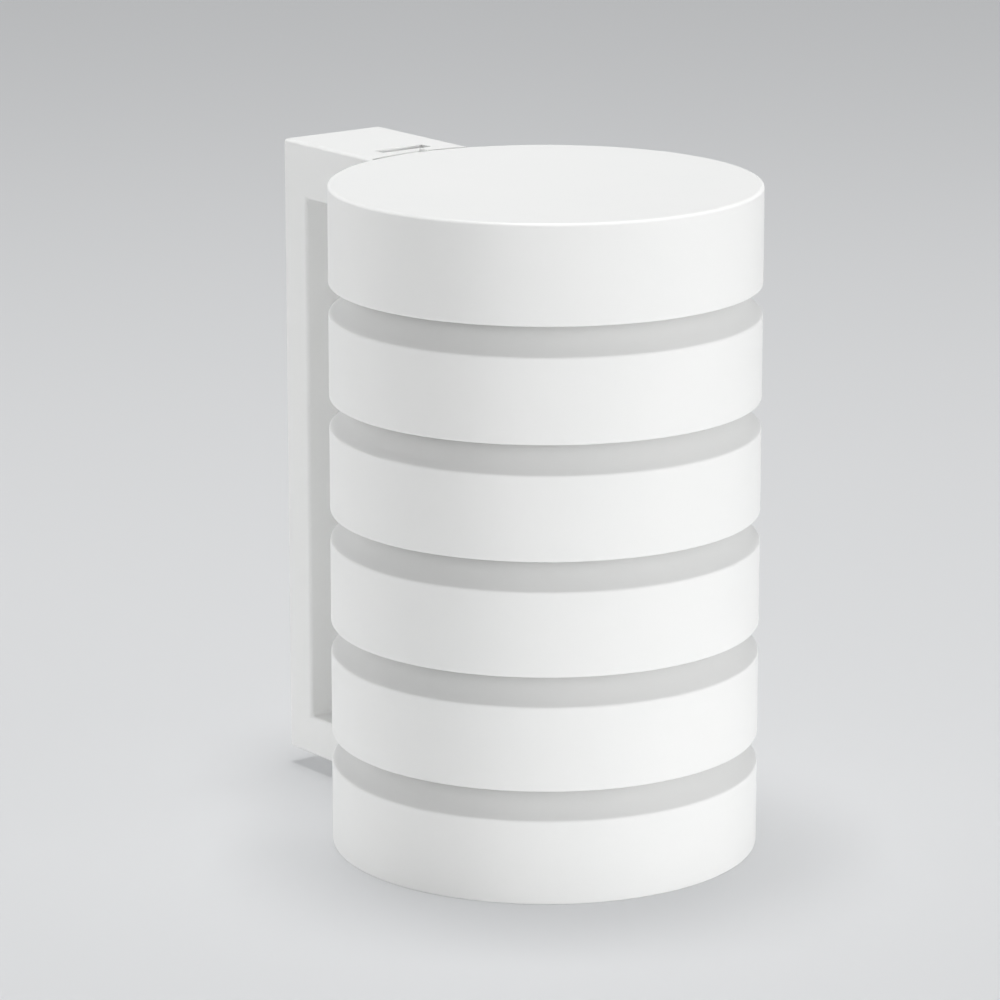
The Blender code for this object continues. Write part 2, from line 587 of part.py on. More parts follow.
def build_module_inside():
    """Build the chassis with its battery bay, the batteries, contacts, board, sensor and radio."""
    chassis_foot = END_INSET + BOTTOM_CAP_THICKNESS + SEAL_HEIGHT + 2 * FIT_GAP
    chassis_top = MODULE_LENGTH - END_INSET - TOP_PLATE_THICKNESS - FIT_GAP
    half = CHASSIS_WIDTH / 2
    back = CHASSIS_THICKNESS / 2
    shelf_back = back + 2 * BATTERY_RADIUS + SHELF_MARGIN
    shelf_top = chassis_foot + SHELF_THICKNESS
    low_contact = shelf_top + FIT_GAP
    cell_foot = low_contact + CONTACT_THICKNESS + FIT_GAP
    high_contact = cell_foot + BATTERY_LENGTH + FIT_GAP
    high_shelf = high_contact + CONTACT_THICKNESS + FIT_GAP
    wall = box((-half, -back, chassis_foot + SHELF_THICKNESS / 2), (half, back, chassis_top))
    foot_plate = disc(MODULE_RADIUS - SHELL_WALL - FIT_GAP, chassis_foot, shelf_top)
    shelf = box((-half, 0, high_shelf), (half, shelf_back, high_shelf + SHELF_THICKNESS))
    cell_y = back + FIT_GAP + BATTERY_RADIUS
    screw_y = back + BATTERY_RADIUS
    holes = [cylinder(MODULE_SCREW_RADIUS + FIT_GAP, 0, shelf_top + FIT_GAP,
                      (side * MODULE_SCREW_OFFSET, screw_y), SCREW_FACETS) for side in (-1, 1)]
    place("module_chassis", combine(wall, joined=[foot_plate, shelf], cut=holes), GREY_PLASTIC, MODULE_Z)
    body_top = BATTERY_LENGTH - BATTERY_TIP_HEIGHT
    cell = combine(turned([(0, BATTERY_LENGTH), (BATTERY_TIP_RADIUS, BATTERY_LENGTH),
                           (BATTERY_TIP_RADIUS, body_top), (BATTERY_RADIUS, body_top),
                           (BATTERY_RADIUS, 0), (0, 0)], POST_FACETS, closed=False))
    for number, side in enumerate((-1, 1), start=1):
        piece = place(f"battery_{number}", cell, CELL_WRAP, MODULE_Z + cell_foot)
        piece.location.x, piece.location.y = side * BATTERY_SPACING / 2, cell_y
    contact_half = BATTERY_SPACING / 2 + BATTERY_TIP_RADIUS
    for name, foot in (("battery_contact_bottom", low_contact), ("battery_contact_top", high_contact)):
        strip = box((-contact_half, cell_y - CONTACT_DEPTH / 2, foot),
                    (contact_half, cell_y + CONTACT_DEPTH / 2, foot + CONTACT_THICKNESS))
        place(name, combine(strip), STEEL, MODULE_Z)
    board_back = -back - FIT_GAP
    board_front = board_back - BOARD_THICKNESS
    board_foot = chassis_foot + BOARD_MARGIN
    board_top = chassis_top - BOARD_MARGIN
    board = box((-BOARD_WIDTH / 2, board_front, board_foot), (BOARD_WIDTH / 2, board_back, board_top))
    place("module_board", combine(board), BOARD_GREEN, MODULE_Z)
    chip_back = board_front - FIT_GAP
    chip_foot = board_foot + SENSOR_RISE
    chip = box((-SENSOR_SIZE / 2, chip_back - SENSOR_HEIGHT, chip_foot),
               (SENSOR_SIZE / 2, chip_back, chip_foot + SENSOR_SIZE))
    place("humidity_sensor", combine(chip), BLACK_PLASTIC, MODULE_Z)
    can_top = board_top - CAN_DROP
    can = box((-CAN_WIDTH / 2, chip_back - CAN_HEIGHT, can_top - CAN_LENGTH),
              (CAN_WIDTH / 2, chip_back, can_top))
    place("radio_can", combine(can), STEEL, MODULE_Z)


build_cap()
build_louvres()
build_base_ring()
build_tie_rods()
build_bracket()
build_hatch()
build_cradle()
build_module_case()
build_module_inside()
bpy.data.collections.remove(WORK)
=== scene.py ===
"""Studio scene of a white louvred weather shield on its wall bracket.

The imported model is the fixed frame. Each sub-assembly below builds finer meshes for its own pieces, in
metres and in the frame's own axes, dresses them with a finish and hands them to the body they move with.
"""

import logging
import math
from collections.abc import Iterable, Mapping, Sequence
from dataclasses import dataclass, field
from enum import Enum
from typing import ClassVar

import bmesh
import bpy
from bmesh.types import BMEdge, BMesh, BMVert
from mathutils import Matrix, Vector


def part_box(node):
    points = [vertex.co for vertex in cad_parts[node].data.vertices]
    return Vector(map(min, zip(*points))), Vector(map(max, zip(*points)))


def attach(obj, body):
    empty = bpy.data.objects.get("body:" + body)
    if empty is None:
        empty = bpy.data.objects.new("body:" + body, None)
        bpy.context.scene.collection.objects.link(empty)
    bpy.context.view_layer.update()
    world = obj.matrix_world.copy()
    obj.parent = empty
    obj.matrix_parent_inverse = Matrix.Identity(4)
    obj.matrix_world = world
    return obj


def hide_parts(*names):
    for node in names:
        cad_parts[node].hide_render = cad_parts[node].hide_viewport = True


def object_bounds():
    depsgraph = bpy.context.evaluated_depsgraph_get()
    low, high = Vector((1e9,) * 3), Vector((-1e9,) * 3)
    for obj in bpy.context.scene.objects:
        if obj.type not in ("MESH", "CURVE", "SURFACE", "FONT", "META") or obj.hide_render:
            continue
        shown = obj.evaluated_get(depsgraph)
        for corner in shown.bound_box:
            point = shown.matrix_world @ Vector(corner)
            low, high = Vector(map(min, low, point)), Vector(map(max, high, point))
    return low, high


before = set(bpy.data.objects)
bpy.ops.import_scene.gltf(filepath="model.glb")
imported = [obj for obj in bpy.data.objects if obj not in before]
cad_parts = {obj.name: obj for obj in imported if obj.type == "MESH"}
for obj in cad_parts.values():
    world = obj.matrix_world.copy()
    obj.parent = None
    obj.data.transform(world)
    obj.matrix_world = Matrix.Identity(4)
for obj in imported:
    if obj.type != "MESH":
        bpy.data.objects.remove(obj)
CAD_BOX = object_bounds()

LOG = logging.getLogger("louvred_shield")
MILLIMETRE = 0.001


class Body(Enum):
    """The bodies of the frame that pieces ride on."""

    BRACKET = "bracket"
    SHIELD = "shield"
    CARRIAGE = "carriage"
    HATCH = "hatch"
    MODULE = "module"


class Slot(Enum):
    """The record's material slots."""

    WHITE_ASA = "white_asa"
    BRASS = "brass"
    STAINLESS_STEEL = "stainless_steel"
    ANODISED_ALUMINIUM = "anodised_aluminium"
    GREY_ABS = "grey_abs"
    BLACK_EPOXY = "black_epoxy"
    BOARD_LAMINATE = "board_laminate"
    BATTERY_WRAP = "battery_wrap"
    SILICONE_RUBBER = "silicone_rubber"
    FROSTED_ACRYLIC = "frosted_acrylic"


class Texture(Enum):
    """How a surface was made, which sets the way its fine relief runs."""

    SPARK_ERODED = "even grain of a spark-eroded mould"
    TURNED = "fine rings left by a lathe tool"
    BRUSHED = "long streaks of a brush or a rolling mill"
    WOVEN = "square weave of glass cloth under a lacquer"


class Axis(Enum):
    """The frame's axes, by their place in a coordinate."""

    X = 0
    Y = 1
    Z = 2


# Scale of the grain along a streak, and the way each kind of relief is drawn out along X, Y and Z.
STREAK = 0.02
STRETCH = {Texture.SPARK_ERODED: (1.0, 1.0, 1.0),
           Texture.TURNED: (STREAK, STREAK, 1.0),
           Texture.BRUSHED: (1.0, 1.0, STREAK)}
# Octaves of the noise in a relief and in a colour, and how much of each finer octave a relief keeps.
GRAIN_DETAIL = 2.0
GRAIN_ROUGHNESS = 0.6
MOTTLE_DETAIL = 3.0
# Numbers of the colour sockets on a Mix node, whose names it also uses for its other sockets.
MIX_FACTOR = 0
MIX_FIRST = 6
MIX_SECOND = 7
MIX_RESULT = 2


def linear(hex_colour: str) -> tuple[float, float, float, float]:
    """Turn an sRGB hex value into a linear colour.

    Args:
        hex_colour: Six hex digits after a hash sign.

    Returns:
        Linear red, green, blue and an alpha of 1.
    """
    parts = [int(hex_colour[i:i + 2], 16) / 255 for i in (1, 3, 5)]
    red, green, blue = [c / 12.92 if c <= 0.04045 else ((c + 0.055) / 1.055) ** 2.4 for c in parts]
    return red, green, blue, 1.0


def per_metre(millimetres: float) -> float:
    """Return the texture scale that repeats a pattern once in so many millimetres."""
    return 1 / (millimetres * MILLIMETRE)


def add_node(tree: bpy.types.NodeTree, kind: str, settings: Mapping[str | int, object],
             links: Mapping[str | int, bpy.types.NodeSocket] | None = None) -> bpy.types.Node:
    """Add a node with its settings and its incoming links.

    Args:
        tree: The node tree to add to.
        kind: Blender's name for the node type.
        settings: Values by input name or number, or by the node's own property name.
        links: Sockets to join, by input name or number.

    Returns:
        The new node.
    """
    node = tree.nodes.new(kind)
    for name, value in settings.items():
        if isinstance(name, str) and name not in node.inputs:
            setattr(node, name, value)
    for name, value in settings.items():
        if isinstance(name, int) or name in node.inputs:
            node.inputs[name].default_value = value
    for name, socket in (links or {}).items():
        tree.links.new(socket, node.inputs[name])
    return node


@dataclass(frozen=True)
class Finish:
    """One material: its substance, its colour range and the relief of its surface."""

    name: str
    slot: Slot
    colour: str
    shade: str
    roughness: float
    roughness_spread: float
    texture: Texture
    grain_mm: float
    relief_mm: float
    mottle_mm: float
    metallic: float = 0.0
    ior: float = 1.5
    transmission: float = 0.0
    coat: float = 0.0

    def relief(self, tree: bpy.types.NodeTree, place: bpy.types.NodeSocket) -> bpy.types.NodeSocket:
        """Add the nodes of the fine relief.

        Args:
            tree: The material's node tree.
            place: The socket that gives object coordinates in metres.

        Returns:
            The socket that gives the height of the relief.
        """
        scale = per_metre(self.grain_mm)
        if self.texture is Texture.WOVEN:
            warp, weft = [add_node(tree, "ShaderNodeTexWave",
                                   {"bands_direction": run, "Scale": scale / math.tau}, {"Vector": place})
                          for run in ("X", "Z")]
            return add_node(tree, "ShaderNodeMath", {"operation": "MULTIPLY"},
                            {0: warp.outputs["Fac"], 1: weft.outputs["Fac"]}).outputs["Value"]
        drawn = add_node(tree, "ShaderNodeMapping", {"Scale": STRETCH[self.texture]}, {"Vector": place})
        grain = {"Scale": scale, "Detail": GRAIN_DETAIL, "Roughness": GRAIN_ROUGHNESS}
        return add_node(tree, "ShaderNodeTexNoise", grain, {"Vector": drawn.outputs["Vector"]}).outputs["Fac"]

    def material(self) -> bpy.types.Material:
        """Make this finish a node material, once.

        Returns:
            The material.
        """
        made = bpy.data.materials.get(self.name)
        if made:
            return made
        made = bpy.data.materials.new(self.name)
        made.use_nodes = True
        tree = made.node_tree
        surface = tree.nodes["Principled BSDF"]
        place = tree.nodes.new("ShaderNodeTexCoord").outputs["Object"]
        spots = {"Scale": per_metre(self.mottle_mm), "Detail": MOTTLE_DETAIL}
        mottle = add_node(tree, "ShaderNodeTexNoise", spots, {"Vector": place}).outputs["Fac"]
        ends = {"data_type": "RGBA", MIX_FIRST: linear(self.colour), MIX_SECOND: linear(self.shade)}
        tint = add_node(tree, "ShaderNodeMix", ends, {MIX_FACTOR: mottle})
        ends = {"To Min": self.roughness - self.roughness_spread,
                "To Max": self.roughness + self.roughness_spread}
        gloss = add_node(tree, "ShaderNodeMapRange", ends, {"Value": mottle})
        bump = add_node(tree, "ShaderNodeBump", {"Strength": 1.0, "Distance": self.relief_mm * MILLIMETRE},
                        {"Height": self.relief(tree, place)})
        tree.links.new(tint.outputs[MIX_RESULT], surface.inputs["Base Color"])
        tree.links.new(gloss.outputs["Result"], surface.inputs["Roughness"])
        tree.links.new(bump.outputs["Normal"], surface.inputs["Normal"])
        surface.inputs["Metallic"].default_value = self.metallic
        surface.inputs["IOR"].default_value = self.ior
        surface.inputs["Transmission Weight"].default_value = self.transmission
        surface.inputs["Coat Weight"].default_value = self.coat
        return made


# ASA moulded in a spark-eroded tool: a clean, neutral white with a soft, even sheen. The real grain is
# about 0.1 mm and is drawn coarser, so that it shows.
WHITE_ASA = Finish("moulded_white_asa", Slot.WHITE_ASA, "#EDEDEC", "#E9EAE9", 0.42, 0.03,
                   Texture.SPARK_ERODED, 0.50, 0.010, 30.0, ior=1.52)
# Free-cutting brass from the lathe: warm yellow metal with rings from the tool.
TURNED_BRASS = Finish("turned_brass", Slot.BRASS, "#C9A35A", "#B98F47", 0.28, 0.06,
                      Texture.TURNED, 0.20, 0.004, 6.0, metallic=1.0)
# Stainless screw wire and strip: grey metal, slightly warm, with drawing marks along its length.
DRAWN_STEEL = Finish("drawn_stainless_steel", Slot.STAINLESS_STEEL, "#C3C2BF", "#AEADAB", 0.30, 0.06,
                     Texture.BRUSHED, 0.25, 0.003, 8.0, metallic=1.0)
# Extruded aluminium, brushed and clear anodised: pale satin metal with streaks along the tube.
ANODISED_ALUMINIUM = Finish("brushed_anodised_aluminium", Slot.ANODISED_ALUMINIUM, "#CBCCCE", "#BFC0C2",
                            0.34, 0.05, Texture.BRUSHED, 0.30, 0.004, 20.0, metallic=1.0)
# ABS moulded grey: matt, with the same kind of tool grain as the shield.
GREY_ABS = Finish("moulded_grey_abs", Slot.GREY_ABS, "#8C8D8E", "#838485", 0.52, 0.05,
                  Texture.SPARK_ERODED, 0.40, 0.010, 18.0, ior=1.53)
# Epoxy moulding compound of a chip: black, dull, slightly sandy.
BLACK_EPOXY = Finish("moulded_black_epoxy", Slot.BLACK_EPOXY, "#1E1E1F", "#262627", 0.55, 0.06,
                     Texture.SPARK_ERODED, 0.12, 0.006, 2.0, ior=1.55)
# Glass-cloth laminate under green solder mask: a glossy lacquer over a fine square weave.
BOARD_LAMINATE = Finish("green_solder_mask", Slot.BOARD_LAMINATE, "#1F5C38", "#1A5232", 0.34, 0.05,
                        Texture.WOVEN, 0.50, 0.010, 9.0, ior=1.54, coat=0.3)
# PVC sleeve shrunk on a cell: dark, glossy film that follows the steel can.
BATTERY_WRAP = Finish("shrunk_pvc_sleeve", Slot.BATTERY_WRAP, "#2B3038", "#31363F", 0.26, 0.05,
                      Texture.BRUSHED, 0.60, 0.006, 12.0, ior=1.53, coat=0.4)
# Silicone rubber seal: black, soft-looking and matt.
SILICONE_RUBBER = Finish("moulded_silicone_rubber", Slot.SILICONE_RUBBER, "#232323", "#2A2A2A", 0.70, 0.06,
                         Texture.SPARK_ERODED, 0.25, 0.010, 5.0, ior=1.41)
# Acrylic light guide with a frosted skin: milky, lets light through without showing what is behind it.
FROSTED_ACRYLIC = Finish("frosted_acrylic", Slot.FROSTED_ACRYLIC, "#F0F3F4", "#E8ECEE", 0.45, 0.05,
                         Texture.SPARK_ERODED, 0.20, 0.006, 6.0, ior=1.49, transmission=0.6)

# A corner of a turned outline: its radius, its height and, where it is rounded, its fillet's setback.
Corner = tuple[float, float] | tuple[float, float, float]
FILLET_STEPS = 4
RING_SEGMENTS = 192
TUBE_SEGMENTS = 128
SCREW_SEGMENTS = 48
TRIANGLE_SIDES = 3
QUAD_SIDES = 4
HEX_SIDES = 6
MERGE_DISTANCE = 1e-6
SHARP_ANGLE = math.radians(38)
# Share of a slot's width that its end corners take, just short of a full half round.
ROUND_END = 0.49
# A V thread's cutter: its half width and its depth as shares of the pitch, how far it starts clear of the
# crest as a share of its depth, and its steps in one turn.
THREAD_HALF_WIDTH = 0.44
THREAD_DEPTH = 0.5
THREAD_CLEARANCE = 0.125
THREAD_STEPS = 32


def rounded(bm: BMesh, parts: Iterable[BMVert | BMEdge], setback: float,
            segments: int = FILLET_STEPS) -> BMesh:
    """Round off the edges of a shape, or the corners of a flat outline.

    Args:
        bm: The shape.
        parts: The edges, or the outline's vertices.
        setback: How far the rounding reaches.
        segments: Steps across the rounding.

    Returns:
        The same shape.
    """
    geom = list(parts)
    affect = "VERTICES" if isinstance(geom[0], BMVert) else "EDGES"
    bmesh.ops.bevel(bm, geom=geom, offset=setback, offset_type="OFFSET", affect=affect,
                    segments=segments, profile=0.5, material=-1)
    return bm


def swept(bm: BMesh, angle: float, steps: int, rise: float = 0.0) -> BMesh:
    """Sweep an outline or a face round the Z axis.

    Args:
        bm: The outline or face.
        angle: How far it goes round. Without a rise, this is a full turn.
        steps: Steps on the way.
        rise: How far it climbs on the way.

    Returns:
        The swept shape, with its faces pointing out.
    """
    bmesh.ops.spin(bm, geom=[*bm.verts, *bm.edges, *bm.faces], cent=(0, 0, 0), axis=(0, 0, 1),
                   dvec=(0, 0, rise / steps), angle=angle, steps=steps, use_merge=rise == 0)
    bmesh.ops.remove_doubles(bm, verts=bm.verts, dist=MERGE_DISTANCE)
    bmesh.ops.recalc_face_normals(bm, faces=bm.faces)
    return bm


def turned(corners: Sequence[Corner], segments: int = RING_SEGMENTS) -> BMesh:
    """Turn an outline round the Z axis.

    Args:
        corners: The outline's corners in order. Where the first is off the axis, they close to a ring.
        segments: Steps round the axis.

    Returns:
        The turned shape.
    """
    bm = bmesh.new()
    points = [bm.verts.new((radius, 0, height)) for radius, height, *_ in corners]
    for start, end in zip(points, points[1:]):
        bm.edges.new((start, end))
    if corners[0][0] > 0:
        bm.edges.new((points[-1], points[0]))
    for point, (_, _, *setback) in zip(points, corners):
        if setback:
            rounded(bm, [point], *setback)
    return swept(bm, math.tau, segments)


def run_along(edge: BMEdge, axis: Axis) -> float:
    """Return how far an edge runs along an axis."""
    return abs(edge.verts[0].co[axis.value] - edge.verts[1].co[axis.value])


def block(low: Sequence[float], high: Sequence[float], edge: float = 0.0, axis: Axis | None = None,
          corner: float = 0.0) -> BMesh:
    """Make a box with rounded edges.

    Args:
        low: Its lowest corner.
        high: Its highest corner.
        edge: Radius of its edges, or 0 for sharp ones.
        axis: The axis whose four edges have a radius of their own, as on a slot or a thin plate.
        corner: That radius.

    Returns:
        The box.
    """
    middle, size = (Vector(high) + Vector(low)) / 2, Vector(high) - Vector(low)
    bm = bmesh.new()
    bmesh.ops.create_cube(bm, size=1, matrix=Matrix.Translation(middle) @ Matrix.Diagonal((*size, 1)))
    if axis:
        sides = [e for e in bm.edges if run_along(e, axis) > MERGE_DISTANCE]
        rounded(bm, sides, corner, segments=2 * FILLET_STEPS)
    if edge > 0:
        rounded(bm, [e for e in bm.edges if not axis or run_along(e, axis) < MERGE_DISTANCE], edge)
    return bm


def rod(radius: float, low: float, high: float, centre: Sequence[float] = (0, 0, 0),
        segments: int = SCREW_SEGMENTS) -> BMesh:
    """Make a plain upright cylinder that is cut from or joined to another shape.

    Args:
        radius: Its radius.
        low: Height of its foot.
        high: Height of its top.
        centre: Where its axis stands.
        segments: Sides round the axis.

    Returns:
        The cylinder.
    """
    bm = bmesh.new()
    bmesh.ops.create_cone(bm, cap_ends=True, segments=segments, radius1=radius, radius2=radius,
                          depth=high - low, matrix=Matrix.Translation((0, 0, (low + high) / 2)))
    return moved(bm, centre)


def moved(bm: BMesh, offset: Sequence[float]) -> BMesh:
    """Shift a shape and return it."""
    bmesh.ops.translate(bm, verts=bm.verts, vec=offset)
    return bm


def swung(bm: BMesh, angle: float, axis: Axis = Axis.Z) -> BMesh:
    """Turn a shape about a main axis through the origin and return it."""
    bmesh.ops.rotate(bm, verts=bm.verts, cent=(0, 0, 0), matrix=Matrix.Rotation(angle, 3, axis.name))
    return bm


def laid(bm: BMesh, across: float, height: float) -> BMesh:
    """Lay a shape made on the Z axis down along +Y, at a place across the object and a height."""
    return moved(swung(bm, math.radians(-90), Axis.X), (across, 0, height))


def on_circle(radius: float, angle: float) -> tuple[float, float, float]:
    """Return the point at an angle on a circle about the axis."""
    return radius * math.cos(angle), radius * math.sin(angle), 0.0


def all_round(count: int, shift: float = 0.0) -> list[float]:
    """Return evenly spaced angles of a full turn, shifted by a share of one step."""
    return [math.tau * (i + shift) / count for i in range(count)]


def as_object(bm: BMesh, name: str) -> bpy.types.Object:
    """Put a shape in the scene as an object at the origin, and free its bmesh.

    Args:
        bm: The shape.
        name: The object's name.

    Returns:
        The object.
    """
    mesh = bpy.data.meshes.new(name)
    bm.to_mesh(mesh)
    bm.free()
    made = bpy.data.objects.new(name, mesh)
    bpy.context.scene.collection.objects.link(made)
    return made


def merged(base: BMesh, joined: Iterable[BMesh] = (), cut: Iterable[BMesh] = ()) -> BMesh:
    """Join shapes to a base shape and then cut others from it.

    Args:
        base: The shape to work on.
        joined: Shapes that become part of it.
        cut: Shapes that are taken away from it.

    Returns:
        The finished shape.
    """
    body = as_object(base, "work_body")
    tools = [("UNION", as_object(bm, "work_tool")) for bm in joined]
    tools += [("DIFFERENCE", as_object(bm, "work_tool")) for bm in cut]
    for operation, tool in tools:
        step = body.modifiers.new(operation.lower(), "BOOLEAN")
        step.operation = operation
        step.object = tool
        step.solver = "EXACT"
    bpy.context.view_layer.update()
    mesh = bpy.data.meshes.new_from_object(body.evaluated_get(bpy.context.evaluated_depsgraph_get()))
    bm = bmesh.new()
    bm.from_mesh(mesh)
    bpy.data.meshes.remove(mesh)
    for used in (body, *(tool for _, tool in tools)):
        spare = used.data
        bpy.data.objects.remove(used)
        bpy.data.meshes.remove(spare)
    bmesh.ops.dissolve_degenerate(bm, dist=MERGE_DISTANCE, edges=bm.edges)
    return bm


def helix_block(inner: float, outer: float, foot: float, height: float, start: float, span: float,
                lead: float) -> BMesh:
    """Make one start of a coarse thread: a block that climbs round the axis.

    Args:
        inner: Its inner radius.
        outer: Its outer radius.
        foot: Height of its foot where it starts.
        height: Its own height.
        start: Angle where it starts.
        span: Angle that it covers.
        lead: Rise in one full turn.

    Returns:
        The climbing block.
    """
    bm = bmesh.new()
    bmesh.ops.create_grid(bm, x_segments=1, y_segments=1, size=0.5)
    bmesh.ops.scale(bm, verts=bm.verts, vec=(outer - inner, height, 1))
    swung(bm, math.radians(90), Axis.X)
    moved(bm, ((inner + outer) / 2, 0, foot + height / 2))
    swung(bm, start)
    return swept(bm, span, math.ceil(RING_SEGMENTS * span / math.tau), lead * span / math.tau)


def thread_cutter(crest: float, root: float, foot: float, top: float, pitch: float) -> BMesh:
    """Make the cutter of a V thread: a wedge that climbs round the axis.

    Args:
        crest: Radius of the bore or shank that it cuts.
        root: Radius of the bottom of its groove.
        foot: Height where it starts.
        top: Height where it ends.
        pitch: Rise in one turn.

    Returns:
        The climbing wedge.
    """
    clear = crest + (crest - root) * THREAD_CLEARANCE
    half = THREAD_HALF_WIDTH * pitch
    turns = (top - foot) / pitch
    bm = bmesh.new()
    wedge = ((clear, 0, foot - half), (root, 0, foot), (clear, 0, foot + half))
    bm.faces.new([bm.verts.new(corner) for corner in wedge])
    return swept(bm, math.tau * turns, math.ceil(turns * THREAD_STEPS), top - foot)


def screw_well(bore: float, head: float, seat: float, low: float, high: float) -> BMesh:
    """Make the cutter of a stepped screw hole: a wide well for the head, then the bore.

    Args:
        bore: Radius of the upper bore.
        head: Radius of the well below.
        seat: Height of the step between them.
        low: Height of its foot.
        high: Height of its top.

    Returns:
        The cutter, on the Z axis.
    """
    return turned([(0, high), (bore, high), (bore, seat), (head, seat), (head, low), (0, low)],
                  SCREW_SEGMENTS)


@dataclass(frozen=True)
class SocketScrew:
    """A screw that stands on its head, with a hexagon socket below and a thread at its upper end."""

    shank: float
    head: float
    head_height: float
    socket_width: float
    socket_depth: float
    pitch: float
    thread_length: float
    edge: float

    def mesh(self, foot: float, tip: float) -> BMesh:
        """Make the screw on the Z axis.

        Args:
            foot: Height of its head's foot.
            tip: Height of its upper end.

        Returns:
            The screw.
        """
        shank, head, seat = self.shank, self.head, foot + self.head_height
        outline = [(0, tip), (shank, tip, self.edge), (shank, seat), (head, seat, self.edge / 2),
                   (head, foot, self.edge), (0, foot)]
        socket = rod(self.socket_width / math.sqrt(3), foot - self.socket_depth, foot + self.socket_depth,
                     segments=HEX_SIDES)
        thread = thread_cutter(shank, shank - THREAD_DEPTH * self.pitch, tip - self.thread_length,
                               tip + self.pitch, self.pitch)
        return merged(turned(outline, SCREW_SEGMENTS), cut=[socket, thread])


@dataclass(frozen=True)
class StackPlan:
    """Sizes that the stacked pieces share, from the frame where a node shows them.

    Heights are counted from the base ring's foot, and radii from the stack's axis.
    """

    foot: Vector
    ring_radius: float
    pitch: float
    post_top: float
    cap_foot: float
    cap_top: float
    wall: float = 0.0022
    band_height: float = 0.0189
    shoulder_run: float = 0.013
    post_circle: float = 0.037
    post_radius: float = 0.0036
    rod_radius: float = 0.0015
    insert_radius: float = 0.0023
    neck_width: float = 0.006
    neck_length: float = 0.0035
    head_width: float = 0.013
    head_depth: float = 0.003
    thread_lead: float = 0.024
    thread_starts: int = 3
    fit: float = 0.0003
    post_angles: tuple[float, ...] = tuple(math.radians(a) for a in (-90, 30, 150))

    @classmethod
    def from_frame(cls) -> "StackPlan":
        """Read the plan from the loaded frame.

        Returns:
            The plan.
        """
        base_low, base_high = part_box("base_ring")
        cap_low, cap_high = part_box("top_cap")
        upper_low, upper_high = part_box("louvre_1")
        lower_low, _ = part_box("louvre_2")
        middle = (base_low + base_high) / 2
        return cls(foot=Vector((middle.x, middle.y, base_low.z)),
                   ring_radius=(base_high.x - base_low.x) / 2,
                   pitch=upper_low.z - lower_low.z,
                   post_top=upper_high.z - upper_low.z,
                   cap_foot=cap_low.z - base_low.z,
                   cap_top=cap_high.z - base_low.z)

    @property
    def inside(self) -> float:
        """Inner radius of the bands."""
        return self.ring_radius - self.wall

    @property
    def throat(self) -> float:
        """Radius of the opening that a ring's shoulder leaves at its top."""
        return self.ring_radius - self.shoulder_run

    @property
    def shoulder_top(self) -> float:
        """Height of the shoulder's upper edge over its ring's foot: it climbs at 45 degrees."""
        return self.band_height + self.shoulder_run

    @property
    def post_foot(self) -> float:
        """Height of a post's foot over its ring's foot."""
        return self.post_top + self.fit - self.pitch

    @property
    def rod_bore(self) -> float:
        """Radius of the bores that the tie rods pass through."""
        return self.rod_radius + self.fit

    @property
    def hook_end(self) -> float:
        """Distance from the axis to the far side of the tongue's head."""
        return self.ring_radius + self.neck_length + self.head_depth

    def box(self, node: str) -> tuple[Vector, Vector]:
        """Return a node's lowest and highest corners in the stack's own coordinates."""
        low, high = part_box(node)
        return low - self.foot, high - self.foot

    def centre(self, node: str) -> tuple[float, float, float]:
        """Return where the upright axis of a node stands."""
        low, high = self.box(node)
        return (low.x + high.x) / 2, (low.y + high.y) / 2, 0.0

    def posts(self, radius: float, foot: float, top: float) -> list[BMesh]:
        """Return an upright cylinder at every screw post, as a post or as the cutter of a bore."""
        return [rod(radius, foot, top, on_circle(self.post_circle, a)) for a in self.post_angles]

    def hook(self, foot: float, top: float, start: float, gap: float = 0.0, edge: float = 0.0) -> BMesh:
        """Make the T-shaped tongue that hangs the cap on the bracket, or the cutter of its slot.

        Args:
            foot: Height of its foot.
            top: Height of its top.
            start: Distance from the axis to where its neck starts.
            gap: Room round the tongue.
            edge: Radius of its head's edges.

        Returns:
            The T.
        """
        neck, head = self.neck_width / 2 + gap, self.head_width / 2 + gap
        near, far = self.hook_end - self.head_depth - gap, self.hook_end + gap
        return merged(block((-head, near, foot), (head, far, top), edge),
                      joined=[block((-neck, start, foot + edge), (neck, (near + far) / 2, top - edge))])

    def thread_blocks(self, inner: float, outer: float, foot: float, height: float, start: float,
                      span: float) -> list[BMesh]:
        """Return a climbing block for every start of the coarse thread between the hatch and the base."""
        return [helix_block(inner, outer, foot, height, turn + start, span, self.thread_lead)
                for turn in all_round(self.thread_starts)]


@dataclass
class Assembly:
    """A sub-assembly that is built on the stack's own axis and rides on one body."""

    body: ClassVar[Body]
    plan: StackPlan

    def place(self, bm: BMesh, name: str, finish: Finish, *nodes: str, height: float = 0.0) -> None:
        """Carry a shape to its place in the frame and make it a finished piece that rides on the body.

        Args:
            bm: The shape, on the stack's own axis.
            name: The piece's name.
            finish: The material it wears.
            *nodes: The nodes of the frame that it replaces.
            height: Height of the shape's own zero over the base ring's foot.
        """
        made = as_object(moved(bm, self.plan.foot + Vector((0, 0, height))), name)
        made.data.materials.append(finish.material())
        made.data.shade_smooth()
        made.data.set_sharp_from_angle(angle=SHARP_ANGLE)
        normals = made.modifiers.new("flat_faces_stay_flat", "WEIGHTED_NORMAL")
        normals.keep_sharp = True
        split = made.modifiers.new("many_sided_faces_split", "TRIANGULATE")
        split.min_vertices = QUAD_SIDES + 1
        split.ngon_method = "BEAUTY"
        split.keep_custom_normals = True
        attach(made, self.body.value)
        if nodes:
            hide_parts(*nodes)
        LOG.info("%s on %s in %s: %d faces", name, self.body.value, finish.name, len(made.data.polygons))


